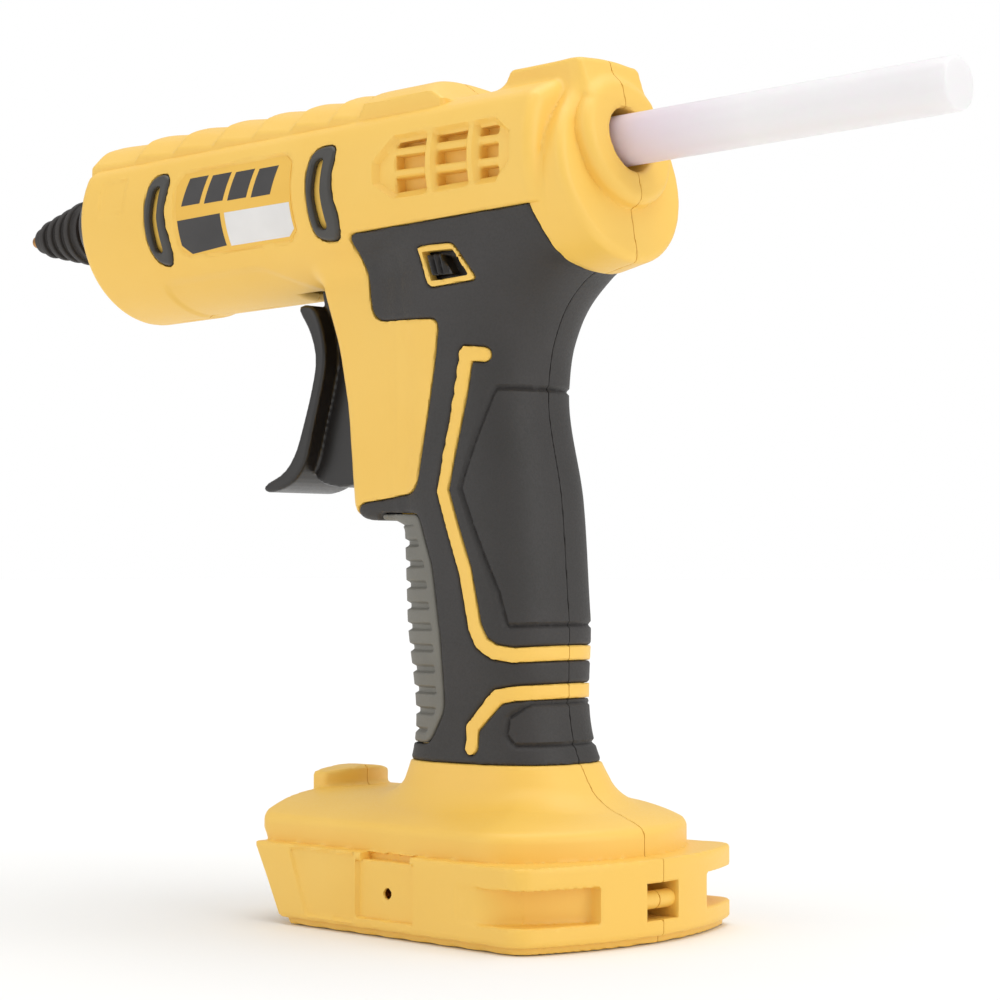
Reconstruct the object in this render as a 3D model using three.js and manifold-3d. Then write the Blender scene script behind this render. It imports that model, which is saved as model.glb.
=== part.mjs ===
// Cordless hot-melt glue gun for 11 mm sticks, standing on its battery foot.
// Millimetres, +Z up. The nozzle points along -X and the foot's underside is Z = 0.
import * as THREE from "three";
import { mergeVertices } from "three/addons/utils/BufferGeometryUtils.js";
import { ParametricGeometry } from "three/addons/geometries/ParametricGeometry.js";
import Module from "manifold-3d";

const wasm = await Module();
wasm.setup();

// ---------------------------------------------------------------- driving dimensions
const GAP = 0.3; // clearance between neighbouring pieces
const SEAM = 0.15; // each shell half stops this far from the middle plane

const STICK_R = 5.65;
const STICK_LENGTH = 200;
const STICK_OUT = 82.3; // how far the stick stands out behind the feed ring
const STICK_CLEARANCE = 0.35;

const BORE_X = 38.2; // middle of the feed ring's face
const BORE_Z = 173.2;
const BARREL_TILT = THREE.MathUtils.degToRad(1.8); // the barrel rises towards the rear
const FLANGE_TILT = THREE.MathUtils.degToRad(12.6); // the rear plate leans forward at its top

const BARREL_R = 24;
const BARREL_DROP = 2.4; // barrel section's centre below the stick's axis
const BARREL_TOP = 15; // top of the barrel shell between the raised blocks
const BARREL_FRONT = -157;
const BARREL_REAR = -9;
const BARREL_WALL = 2.8;
const RAIL_HALF = 18.7;
const RAIL_TOP = 20;
const RAIL_EDGE = 14.5;
const RAIL_REAR = -50;
const BLOCK_HALF = 10.5;
const BLOCK_TOP = 18.4;

const RING_R = 14.5;
const INLET_R = 7.1;
const FLANGE_R = 20.5;
const PLATE_REAR = -4; // rear face of the plate behind the barrel, in the flange's own frame

const GRIP_DEPTH = 1.8; // thickness of the soft overmould
const HANDLE_WALL = 2.3;
const GRIP_BOTTOM = 37;

const FOOT_RIM = { rear: 46.5, rearR: 80, cornerR: 6, half: 37.3 };
const FOOT_CROWN = { rear: 44.5, rearR: 48, cornerR: 15, half: 36.3 };
const FOOT_FRONT = -49.5;
const FOOT_FRONT_BOTTOM = -38.4;
const FOOT_TAPER = THREE.MathUtils.degToRad(4.7);
const RIM_TOP = 18;
const SOCKET_HALF = 27.5;
const SOCKET_MOUTH_HALF = 24;
const SOCKET_TOP = 15;
const SOCKET_LEDGE = 3.5;

const PIVOT_X = -47;
const PIVOT_Z = 151;
const PIN_R = 1.5;
const WEB_HALF = 6;
const TRIGGER_HALF = 10.7;
const WELL_HALF = WEB_HALF + 0.6;
const TRUNNION_R = 1.6;

const SCREW_R = 1.5;
const SCREW_HEAD_R = 2.8;
const SCREW_LENGTH = 20;
const BOSS_R = 3.6;

const CHAMBER_R = 9;
const SHIELD_R = 14.6;
const COLLAR_R = 12;
const NOZZLE_TIP = -201.7;

// ---------------------------------------------------------------- solids
function solid(geometry, place = new THREE.Matrix4()) {
  const bare = geometry.clone().applyMatrix4(place);
  bare.deleteAttribute("normal");
  bare.deleteAttribute("uv");
  const merged = mergeVertices(bare, 1e-3);
  const triVerts = new Uint32Array(merged.index.array);
  const vertProperties = merged.attributes.position.array;
  const made = new wasm.Manifold(new wasm.Mesh({ numProp: 3, vertProperties, triVerts }));
  if (made.volume() >= 0) return made;
  const turned = triVerts.slice();
  for (let i = 0; i < turned.length; i += 3) {
    [turned[i + 1], turned[i + 2]] = [turned[i + 2], turned[i + 1]];
  }
  return new wasm.Manifold(new wasm.Mesh({ numProp: 3, vertProperties, triVerts: turned }));
}

function geometryOf(body) {
  const mesh = body.getMesh();
  const n = mesh.numProp;
  const positions = new Float32Array(mesh.numVert * 3);
  for (let i = 0; i < mesh.numVert; i += 1) {
    positions.set(mesh.vertProperties.subarray(i * n, i * n + 3), i * 3);
  }
  const geometry = new THREE.BufferGeometry();
  geometry.setAttribute("position", new THREE.BufferAttribute(positions, 3));
  geometry.setIndex(new THREE.BufferAttribute(mesh.triVerts, 1));
  geometry.computeVertexNormals();
  return geometry;
}

const joined = (...bodies) => bodies.reduce((all, body) => all.add(body));
const cutBy = (body, ...tools) => tools.reduce((rest, tool) => rest.subtract(tool), body);

const shapeOf = (points) => new THREE.Shape(points.map(([a, b]) => new THREE.Vector2(a, b)));
const extruded = (shape, depth, curveSegments = 8) =>
  new THREE.ExtrudeGeometry(shape, { depth, bevelEnabled: false, curveSegments });

// A side-view outline of [x, z] points, from y0 to y1.
function wall(points, y0, y1, place) {
  const geometry = extruded(shapeOf(points), y1 - y0);
  geometry.rotateX(Math.PI / 2).translate(0, y1, 0);
  return solid(geometry, place);
}

// A cross-section of [y, z] points, from x0 to x1.
function along(points, x0, x1, place) {
  const geometry = extruded(shapeOf(points), x1 - x0);
  const turn = new THREE.Matrix4().makeBasis(
    new THREE.Vector3(0, 1, 0),
    new THREE.Vector3(0, 0, 1),
    new THREE.Vector3(1, 0, 0),
  );
  geometry.applyMatrix4(turn).translate(x0, 0, 0);
  return solid(geometry, place);
}

const slab = (shape, z0, z1, place) =>
  solid(extruded(shape, z1 - z0, 5).translate(0, 0, z0), place);

// A body turned about the X axis from [x, radius] points.
function turned(points, place, segments = 24) {
  const profile = points.map(([x, r]) => new THREE.Vector2(r, x));
  const geometry = new THREE.LatheGeometry(profile, segments);
  return solid(geometry.rotateZ(-Math.PI / 2), place);
}

const rodX = (r, x0, x1, place, segments) =>
  turned([[x0, 0], [x0, r], [x1, r], [x1, 0]], place, segments);

const tubeX = (r, bore, x0, x1, place, segments) =>
  turned([[x0, bore], [x0, r], [x1, r], [x1, bore], [x0, bore]], place, segments);

// A round pin along Y, through [x, z].
function rodY(r, x, z, y0, y1, segments = 20) {
  const geometry = new THREE.CylinderGeometry(r, r, y1 - y0, segments);
  return solid(geometry.translate(x, (y0 + y1) / 2, z));
}

function box(x0, x1, y0, y1, z0, z1, place) {
  const geometry = new THREE.BoxGeometry(x1 - x0, y1 - y0, z1 - z0);
  return solid(geometry.translate((x0 + x1) / 2, (y0 + y1) / 2, (z0 + z1) / 2), place);
}

// Moves each side of an outline outwards by d.
function offset(points, d) {
  const count = points.length;
  const area = points.reduce((sum, [x, z], i) => {
    const [nx, nz] = points[(i + 1) % count];
    return sum + x * nz - nx * z;
  }, 0);
  const side = Math.sign(area) * d;
  return points.map(([x, z], i) => {
    const [px, pz] = points[(i + count - 1) % count];
    const [nx, nz] = points[(i + 1) % count];
    const before = new THREE.Vector2(x - px, z - pz).normalize();
    const after = new THREE.Vector2(nx - x, nz - z).normalize();
    const normal = new THREE.Vector2(before.y + after.y, -before.x - after.x);
    const stretch = (2 * side) / normal.lengthSq();
    return [x + normal.x * stretch, z + normal.y * stretch];
  });
}

// The outline of a band of one width along a centre line.
function band(centre, width) {
  const sides = [1, -1].map((side) =>
    centre.map(([x, z], i) => {
      const [px, pz] = centre[Math.max(i - 1, 0)];
      const [nx, nz] = centre[Math.min(i + 1, centre.length - 1)];
      const run = new THREE.Vector2(nx - px, nz - pz).normalize();
      return [x + (side * run.y * width) / 2, z - (side * run.x * width) / 2];
    }),
  );
  return [...sides[0], ...sides[1].reverse()];
}

// A closed skin through rings, its two ends closed by flat lids.
// Each ring is { z, front, rear, half }: a rounded rectangle in plan.
function lofted(rings, squareness, around = 20) {
  const stations = [rings[0], ...rings, rings[rings.length - 1]];
  const last = stations.length - 1;
  const power = 2 / squareness;
  const curve = (value) => Math.sign(value) * Math.abs(value) ** power;
  const point = (u, v, target) => {
    const row = Math.round(v * last);
    const ring = stations[row];
    const size = row === 0 || row === last ? 0 : 1;
    const turn = (u === 1 ? 0 : u) * 2 * Math.PI;
    const middle = (ring.front + ring.rear) / 2;
    const reach = (ring.rear - ring.front) / 2;
    target.set(
      middle + size * reach * curve(Math.cos(turn)),
      size * ring.half * curve(Math.sin(turn)),
      ring.z,
    );
  };
  return solid(new ParametricGeometry(point, around, last));
}

// ---------------------------------------------------------------- places
const frameAt = (x, z, tilt) =>
  new THREE.Matrix4().makeTranslation(x, 0, z).multiply(new THREE.Matrix4().makeRotationY(-tilt));
const BARREL = frameAt(BORE_X, BORE_Z, BARREL_TILT); // x along the stick, z up
const FLANGE = frameAt(BORE_X, BORE_Z, FLANGE_TILT); // x out of the rear plate
const onBarrel = (x, z) => {
  const place = new THREE.Vector3(x, 0, z).applyMatrix4(BARREL);
  return [place.x, place.z];
};

const SHIFT = -(BORE_X + (NOZZLE_TIP + STICK_OUT) * 0.5 * Math.cos(BARREL_TILT));
const root = new THREE.Group();
root.position.x = SHIFT; // the origin lies under the middle of the whole length
const barrelGroup = new THREE.Group();
barrelGroup.position.set(BORE_X, 0, BORE_Z);
barrelGroup.rotation.y = -BARREL_TILT;
root.add(barrelGroup);

const FINISH = {
  yellow: { color: 0xf0c050, roughness: 0.5, metalness: 0 },
  grip: { color: 0x3d3a38, roughness: 0.8, metalness: 0 },
  pad: { color: 0x5a5850, roughness: 0.85, metalness: 0 },
  black: { color: 0x1a1817, roughness: 0.55, metalness: 0 },
  glue: { color: 0xf2f0f2, roughness: 0.4, metalness: 0 },
  brass: { color: 0xc79a45, roughness: 0.35, metalness: 1 },
  aluminium: { color: 0xb9babc, roughness: 0.4, metalness: 1 },
  steel: { color: 0x9a9a9c, roughness: 0.4, metalness: 1 },
  board: { color: 0x1f5a3a, roughness: 0.5, metalness: 0 },
  white: { color: 0xe6e2dc, roughness: 0.6, metalness: 0 },
  label: { color: 0x6a6866, roughness: 0.4, metalness: 0 },
  silicone: { color: 0xb2452f, roughness: 0.7, metalness: 0 },
};

function piece(name, body, finish, parent = root) {
  const mesh = new THREE.Mesh(geometryOf(body), new THREE.MeshStandardMaterial(FINISH[finish]));
  mesh.name = name;
  parent.add(mesh);
}

// ---------------------------------------------------------------- outer body
// Barrel section: a circle below, a flatter arc on top.
function barrelSection(inset) {
  const shoulder = 9.5;
  const r = BARREL_R - inset;
  const half = Math.sqrt(r * r - (shoulder + BARREL_DROP) ** 2);
  const points = [];
  const start = Math.atan2(shoulder + BARREL_DROP, half);
  const sweep = Math.PI + 2 * start;
  const steps = 18;
  for (let i = 0; i <= steps; i += 1) {
    const angle = start - (sweep * i) / steps;
    points.push([r * Math.cos(angle), r * Math.sin(angle) - BARREL_DROP]);
  }
  return [...points, ...arch(-half, half, shoulder, BARREL_TOP - inset)];
}

// Points of a shallow arch between two shoulders, without its ends.
function arch(y0, y1, base, top, steps = 6) {
  const points = [];
  for (let i = 1; i < steps; i += 1) {
    const t = i / steps;
    points.push([y0 + (y1 - y0) * t, base + (top - base) * (1 - (2 * t - 1) ** 2)]);
  }
  return points;
}

const railSection = (inset) => {
  const half = RAIL_HALF - inset;
  const edge = RAIL_EDGE - inset;
  const top = arch(-half, half, edge, RAIL_TOP - inset);
  return [[half, 0], [-half, 0], [-half, edge], ...top, [half, edge]];
};

const HANDLE = [
  { z: 24, front: -24, rear: 30, half: 20 },
  { z: 31, front: -22, rear: 27, half: 18.6 },
  { z: GRIP_BOTTOM, front: -20, rear: 23.6, half: 17 },
  { z: 70, front: -21, rear: 20.3, half: 17 },
  { z: 95, front: -22, rear: 18.3, half: 17 },
  { z: 121, front: -24, rear: 14.6, half: 16 },
  { z: 131, front: -25, rear: 16.5, half: 16.4 },
  { z: 140, front: -26, rear: 21.5, half: 17.6 },
  { z: 149, front: -26, rear: 29, half: 18.6 },
  { z: 160, front: -25, rear: 29, half: 16.5 },
];
const HANDLE_SQUARENESS = 2.6;
const handleBody = (inset, rings = HANDLE) =>
  lofted(
    rings.map(({ z, front, rear, half }) => ({
      z,
      front: front + inset,
      rear: rear - inset,
      half: half - inset,
    })),
    HANDLE_SQUARENESS,
  );

// The panel between trigger and handle.
const GUARD = [
  [-15, 91], [-30, 91], [-33.2, 93], [-35.4, 117], [-38.3, 131], [-45, 147], [-45, 160], [-15, 160],
];
const GUARD_HALF = 14.5;
const guardBody = (inset) =>
  cutBy(
    wall(offset(GUARD, -inset), -GUARD_HALF + inset, GUARD_HALF - inset),
    ...[-1, 1].map((side) => {
      const flat = GUARD_HALF - inset;
      const edge = [[-60, flat - 4], [-60, 20], [-25, 20], [-25, flat], [-31, flat]];
      return slab(shapeOf(edge.map(([x, y]) => [x, side * y])), 80, 146);
    }),
  );

// Plan of the foot: a wide rear arc, round corners and sides that taper to the front.
function footPlan({ rear, rearR, cornerR, half }, inset, front = FOOT_FRONT + inset) {
  const centre = rear - rearR;
  const cornerY = half - cornerR;
  const reach = rearR - cornerR;
  const cornerX = centre + Math.sqrt(reach * reach - cornerY * cornerY);
  const join = Math.atan2(cornerY, cornerX - centre);
  const end = Math.PI / 2 + FOOT_TAPER;
  const r = cornerR - inset;
  const sideX = cornerX + r * Math.cos(end);
  const sideY = cornerY + r * Math.sin(end);
  const frontY = sideY - (sideX - front) * Math.tan(FOOT_TAPER);
  const shape = new THREE.Shape();
  shape.absarc(centre, 0, rearR - inset, -join, join, false);
  shape.absarc(cornerX, cornerY, r, join, end, false);
  shape.lineTo(front, frontY);
  shape.lineTo(front, -frontY);
  shape.absarc(cornerX, -cornerY, r, -end, -join, false);
  return shape;
}

// [bottom, top, inset from the crown's plan] of each step of the domed deck.
const DOME_STEPS = [
  [RIM_TOP - 1, 23.5, 3.2],
  [23.4, 27, 5.2],
  [26.9, 29.2, 9.5],
];
function footBody() {
  const rim = slab(footPlan(FOOT_RIM, 0), 1.5, RIM_TOP);
  const lip = slab(footPlan(FOOT_RIM, 1.6), 0, 1.6);
  const dome = DOME_STEPS.map(([z0, z1, inset]) =>
    slab(footPlan(FOOT_CROWN, inset, FOOT_FRONT + inset - 3.2), z0, z1));
  const slant = wall([[-70, -1], [FOOT_FRONT_BOTTOM, -1], [FOOT_FRONT, 20.5], [-70, 20.5]], -50, 50);
  const bump = slab(lampPlan(), 24, 33.8);
  return joined(rim, lip, ...dome, bump).subtract(slant);
}

function lampPlan() {
  const shape = new THREE.Shape();
  shape.moveTo(-49.4, -10.7);
  shape.lineTo(-44.5, -10.7);
  shape.quadraticCurveTo(-38, 0, -44.5, 10.7);
  shape.lineTo(-49.4, 10.7);
  return shape;
}

function rearPlate(grow = 0) {
  const low = FLANGE.clone().multiply(new THREE.Matrix4().makeTranslation(0, 0, -6));
  const plate = rodX(FLANGE_R + grow, -15 - grow, PLATE_REAR, low, 32);
  const ring = rodX(RING_R, -12, 0, FLANGE, 32);
  const tab = box(-15, PLATE_REAR, -BLOCK_HALF, BLOCK_HALF, 0, BLOCK_TOP, FLANGE);
  const blockSide = [[-28.5, 10], [-28.5, 13], [-25.5, BLOCK_TOP], [-6, BLOCK_TOP], [-3, 10]];
  return joined(plate, ring, tab, wall(blockSide, -BLOCK_HALF, BLOCK_HALF, BARREL));
}

// The rail ends in a slope down to the barrel.
const RAIL_SIDE = [
  [BARREL_FRONT, 0],
  [BARREL_FRONT, RAIL_TOP - 3],
  [BARREL_FRONT + 3, RAIL_TOP + 1],
  [RAIL_REAR, RAIL_TOP + 1],
  [RAIL_REAR + 10, BARREL_TOP - 1],
  [RAIL_REAR + 10, 0],
];

function outerBody() {
  const barrel = along(barrelSection(0), BARREL_FRONT, BARREL_REAR, BARREL);
  const rail = along(railSection(0), BARREL_FRONT, RAIL_REAR + 10, BARREL).intersect(
    wall(RAIL_SIDE, -30, 30, BARREL),
  );
  return joined(barrel, rail, rearPlate(), handleBody(0), guardBody(0), footBody());
}

// ---------------------------------------------------------------- hollows
const TRIGGER_WELL = [
  [-60, 96.5], [-36, 96.5], [-15, 100], [-15, 118], [-20, 146], [-38, 162], [-57, 162], [-57, 146], [-60, 140],
];

function hollows() {
  const barrel = along(barrelSection(BARREL_WALL), BARREL_FRONT + 4, BARREL_REAR - 8, BARREL);
  const rail = along(railSection(3.4), BARREL_FRONT + 4, RAIL_REAR - 3, BARREL);
  const inset = GRIP_DEPTH + GAP + HANDLE_WALL;
  const inner = HANDLE.filter(({ z }) => z >= 31);
  const handle = handleBody(inset, [{ ...inner[0], z: 20 }, ...inner]);
  const guard = guardBody(HANDLE_WALL + 0.5);
  const well = wall(TRIGGER_WELL, -WELL_HALF, WELL_HALF);
  const inlet = rodX(INLET_R, -40, 5, BARREL);
  const nozzleBore = rodX(COLLAR_R + GAP, BARREL_FRONT - 2, BARREL_FRONT + 6, BARREL);
  const dome = slab(footPlan(FOOT_CROWN, 9, -38), RIM_TOP, 25);
  return joined(barrel, rail, handle, guard, well, inlet, nozzleBore, dome, ...socket());
}

// Battery socket: open below and at the front, with a ledge along each side for the pack's rails.
function socket() {
  const chamfered = (half) =>
    shapeOf([[-70, -half], [20, -half], [31.5, -16], [31.5, 16], [20, half], [-70, half]]);
  const mouth = slab(chamfered(SOCKET_MOUTH_HALF), -1, SOCKET_LEDGE + 0.1);
  const room = slab(chamfered(SOCKET_HALF), SOCKET_LEDGE, SOCKET_TOP);
  return [mouth, room, terminalWell()];
}

const TERMINAL = { front: 12, rear: 27, half: 13, bottom: 7, top: 24 };
const terminalWell = () =>
  box(
    TERMINAL.front - GAP,
    TERMINAL.rear + GAP,
    -TERMINAL.half - GAP,
    TERMINAL.half + GAP,
    SOCKET_TOP - 1,
    TERMINAL.top + 2,
  );

// ---------------------------------------------------------------- surface features
const OCTAGON = [
  [-17.3, 166], [-11.5, 162.2], [18.5, 163.2], [23.4, 167.5],
  [23.4, 174], [18.5, 177.7], [-11.5, 176.7], [-17.3, 171],
];
const VENT_DEPTH = 1.2;

// The side of the barrel inside an outline, between two depths under the surface.
function sidePatch(points, side, shallow, deep) {
  const plug = side < 0 ? wall(points, -40, -2) : wall(points, 2, 40);
  const ringAt = (inset) => along(barrelSection(inset), BARREL_FRONT - 5, BARREL_REAR + 20, BARREL);
  return plug.intersect(ringAt(shallow)).subtract(ringAt(deep));
}

function vent(side) {
  const windows = [];
  const columns = [-11.4, -2.4, 0.8, 9.6, 13.4, 18.8];
  const rows = [163.6, 167.2, 168.7, 172, 173.5, 176.4];
  for (let i = 0; i < 6; i += 2) {
    for (let k = 0; k < 6; k += 2) {
      const y = side < 0 ? [-40, -12] : [12, 40];
      windows.push(box(columns[i], columns[i + 1], ...y, rows[k], rows[k + 1]));
    }
  }
  const inner = wall(offset(OCTAGON, -1.2), -40, 40);
  return joined(sidePatch(OCTAGON, side, -2, VENT_DEPTH), joined(...windows).intersect(inner));
}

const BUMPERS = {
  front: [
    [-93.8, 160], [-92.5, 154.5], [-88, 152.9], [-85.6, 157], [-87, 165],
    [-85.1, 174], [-88, 175.6], [-92, 174.5], [-93.6, 169],
  ],
  rear: [
    [-38.4, 160.5], [-38, 155.5], [-31, 154.7], [-29.2, 160], [-30.6, 167],
    [-29, 175], [-31, 176.7], [-36.8, 175.8], [-38.3, 170],
  ],
};
const BUMPER_SLOT = { front: [-90.1, 164.4], rear: [-34.7, 165.8] };
const BUMPER_DEPTH = 1.3;
const DECAL = [
  [-83.2, 156], [-80, 154.7], [-46, 155.7], [-43, 158], [-43, 174], [-45.5, 176.2], [-80.5, 175.2], [-83.2, 172],
];
const DECAL_DEPTH = 0.3;

const bumperSlot = (centre) => {
  const [x, z] = centre;
  return [[x - 1.7, z - 7.8], [x + 1.3, z - 8.2], [x + 1.7, z + 8.2], [x - 1.3, z + 7.8]];
};

const recesses = (side) => [
  ...Object.values(BUMPERS).map((points) =>
    sidePatch(offset(points, GAP), side, -2, BUMPER_DEPTH + GAP)),
  sidePatch(offset(DECAL, GAP), side, -2, DECAL_DEPTH + GAP),
];

// Overmould outlines, seen from the side.
const GRIP = [
  [-25, 156], [28, 158.6], [29.5, 150], [34, 146], [60, 146], [60, GRIP_BOTTOM], [-60, GRIP_BOTTOM],
  [-60, 94.6], [-25.7, 95.4], [-13, 97], [-10.8, 99], [-3.8, 135.6], [-15, 136], [-17.8, 138.4],
];
const PAD = [
  [-60, 92.4], [-20.6, 92.4], [-10.3, 92.1], [-5.6, 80.4], [-3.3, 65.5], [-2.8, 48.6], [-7.5, 41.1],
  [-60, 41.1],
];
const INLAYS = [
  [[11.2, 127.2], [4.7, 127.6], [-2.3, 97.2], [4.2, 79.5], [6.7, 67.3], [11.2, 62], [15, 61], [60, 64.4]],
  [[5.6, 40.7], [5.6, 44.9], [11.7, 51.9], [15, 52.6], [60, 56.2]],
];
const INLAY_WIDTH = 2.8;
const SWITCH_FRAME = [[-8.9, 151.9], [2.3, 151.9], [8.4, 143.5], [-5.6, 142.6]];
const SWITCH_WINDOW = offset(SWITCH_FRAME, -1.2);

// Everything the grip leaves open on one side, at a clearance.
function gripRegion(side, clearance) {
  const near = clearance > 0 ? -1 : SEAM;
  const y = side < 0 ? [-45, -near] : [near, 45];
  const field = wall(offset(GRIP, clearance), ...y);
  const openings = INLAYS.map((line) => wall(band(line, INLAY_WIDTH - 2 * clearance), -45, 45));
  const frame = wall(offset(SWITCH_FRAME, -clearance), -45, 0);
  return cutBy(field, ...openings, frame);
}

const body = outerBody();
const core = joined(
  along(barrelSection(GRIP_DEPTH), BARREL_FRONT, BARREL_REAR, BARREL),
  handleBody(GRIP_DEPTH),
  guardBody(GRIP_DEPTH),
  rearPlate(GAP),
);
const deepCore = joined(
  along(barrelSection(GRIP_DEPTH + GAP), BARREL_FRONT, BARREL_REAR, BARREL),
  handleBody(GRIP_DEPTH + GAP),
  guardBody(GRIP_DEPTH + GAP),
  rearPlate(),
);
const wellBlock = wall(offset(TRIGGER_WELL, GAP), -WELL_HALF - GAP, WELL_HALF + GAP);

function grip(side) {
  const skin = body.subtract(core).intersect(gripRegion(side, 0));
  return cutBy(skin, wall(offset(PAD, GAP), -45, 45), wellBlock);
}

function fingerPad(side) {
  const y = side < 0 ? [-45, -SEAM] : [SEAM, 45];
  return body.subtract(core).intersect(wall(PAD, ...y)).subtract(wellBlock);
}

// ---------------------------------------------------------------- fasteners
// [x, z, y of the head's seat] of each shell screw.
const SCREWS = [
  [...onBarrel(-138, -20.8), 9],
  [...onBarrel(-64.8, -19.4), 9],
  [...onBarrel(-100, 13.4), 9],
  [...onBarrel(-56, 13.4), 9],
  [6, 130, 9],
  [-9, 105, 9],
  [-8, 43, 9],
  [-34, 21.6, 14],
];
const screwTip = (seat) => seat - SCREW_LENGTH;

const screwBody = ([x, z, seat]) =>
  joined(
    rodY(SCREW_R, x, z, screwTip(seat), seat + 0.5, 14),
    rodY(SCREW_HEAD_R, x, z, seat, seat + 2.2, 14),
  );
const bossRoom = joined(
  along(barrelSection(BARREL_WALL - 0.4), BARREL_FRONT + 1, BARREL_REAR, BARREL),
  along(railSection(3), BARREL_FRONT + 1, RAIL_REAR, BARREL),
  handleBody(GRIP_DEPTH + GAP + 0.5),
  slab(footPlan(FOOT_CROWN, 6), RIM_TOP - 1, 27),
);
const boss = ([x, z, seat]) => rodY(BOSS_R, x, z, screwTip(seat) - 1.5, seat + 3.5, 8).intersect(bossRoom);
const screwHole = ([x, z, seat]) =>
  joined(
    rodY(SCREW_R + GAP, x, z, screwTip(seat) - GAP, seat + 1, 8),
    rodY(SCREW_HEAD_R + GAP, x, z, seat - GAP, seat + 40, 8),
  );

// ---------------------------------------------------------------- shell halves
const PIN_HALF = 13;
const HOOK = { x0: -12.6, x1: 5.6, z0: 3.7, z1: 16.4, holeX: -3.3, holeZ: 9.5, holeR: 1.2 };
const INSERT = { r: 2.6, from: 28, to: 32.6 };
const hookDepth = 0.9;
const footSideY = (x) => FOOT_CROWN.half + 0.05 - (22.9 - x) * Math.tan(FOOT_TAPER);

// Recess, strap slot and screw hole for a belt hook on one side of the foot.
function hookSeat(side) {
  const inner = footSideY((HOOK.x0 + HOOK.x1) / 2) - hookDepth;
  const span = (a, b) => (side < 0 ? [-b, -a] : [a, b]);
  return [
    box(HOOK.x0, HOOK.x1, ...span(inner, 45), HOOK.z0, HOOK.z1),
    box(HOOK.x0, HOOK.x1, ...span(inner - 3, 45), HOOK.z1 - 0.1, RIM_TOP + 0.1),
    rodY(HOOK.holeR, HOOK.holeX, HOOK.holeZ, ...span(20, 45), 16),
    rodY(INSERT.r + GAP, HOOK.holeX, HOOK.holeZ, ...span(20, INSERT.to + GAP), 16),
  ];
}

// Pockets round the rear corners of the foot, and the cord window in its middle.
const POCKET = { front: 19.2, inner: 18.5, bottom: 5.6, top: 13.3 };
function footCuts() {
  const { front, inner, bottom, top } = POCKET;
  const corners = joined(
    box(front, 60, inner, 60, bottom, top),
    box(front, 60, -60, -inner, bottom, top),
  ).subtract(slab(footPlan(FOOT_CROWN, 0), 0, RIM_TOP));
  const windowBox = box(33.5, 60, -5.3, 5.3, 4.9, 12.9);
  const bar = rodY(1.8, 43.6, 9, -9, 9, 16);
  const through = box(25, 34, -3, 3, 6, 12);
  return joined(corners, windowBox.subtract(bar), through);
}

const sidePanel = (side) => {
  const outline = [[-35.5, 17.2], [-29.6, 2.8], [-13.6, 2.8], [-13.6, 17.2]];
  const face = footSideY(-24) - 0.6;
  return side < 0 ? wall(outline, -45, -face) : wall(outline, face, 45);
};

// Ribs that carry the guide tube, the collar and the pivot pin.
const RIB_HALF = 13.5;
const TUBE = { r: 7.6, bore: 6.4, front: -74, rear: -20 };
function carriers() {
  const section = barrelSection(BARREL_WALL - 0.5);
  const rib = (x, hole) =>
    along(section, x - 1, x + 1, BARREL)
      .intersect(box(x - 2, x + 2, -RIB_HALF, RIB_HALF, -40, 40, BARREL))
      .subtract(rodX(hole, x - 3, x + 3, BARREL));
  const pivot = [-1, 1].map((side) => {
    const y = side < 0 ? [-20, -WELL_HALF - 0.6] : [WELL_HALF + 0.6, 20];
    return rodY(3.6, PIVOT_X, PIVOT_Z, ...y);
  });
  const kept = bossRoom.intersect(joined(...pivot));
  return joined(rib(-70, TUBE.r + GAP), rib(-30, TUBE.r + GAP), kept);
}

const lensSeat = (clearance) =>
  box(-60, -47.9 + clearance, -6.5 - clearance, 6.5 + clearance, 28 - clearance, 32 + clearance);

const SLIDER_BACK = 15.2; // inner face of the shell behind the switch window
const SLIDER_FACE = -18.4;
const SLIDER_BUTTON = [[-4.6, 145], [-6.2, 149.8], [-1.5, 149.8], [1.8, 145]];

function shell(side) {
  const half = box(-300, 300, side < 0 ? -60 : SEAM, side < 0 ? -SEAM : 60, -5, 260);
  const overmould = gripRegion(side, GAP).subtract(deepCore);
  const switchCut = side < 0
    ? [wall(SWITCH_WINDOW, -45, -8), box(-12, 13, -SLIDER_BACK - 0.4, -8, 141.5, 153)]
    : [];
  const bosses = joined(...SCREWS.map(boss));
  const fitted = cutBy(body, hollows()).add(bosses).add(carriers());
  return cutBy(
    fitted.intersect(half),
    overmould,
    vent(side),
    ...recesses(side),
    ...SCREWS.map(screwHole),
    rodY(PIN_R + GAP, PIVOT_X, PIVOT_Z, -PIN_HALF - GAP, PIN_HALF + GAP),
    ...hookSeat(side),
    footCuts(),
    sidePanel(side),
    lensSeat(GAP),
    ...switchCut,
  );
}

piece("housing_left", shell(-1), "yellow");
piece("housing_right", shell(1), "yellow");
piece("grip_left", grip(-1), "grip");
piece("grip_right", grip(1), "grip");
piece("finger_pad_left", fingerPad(-1), "pad");
piece("finger_pad_right", fingerPad(1), "pad");

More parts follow.
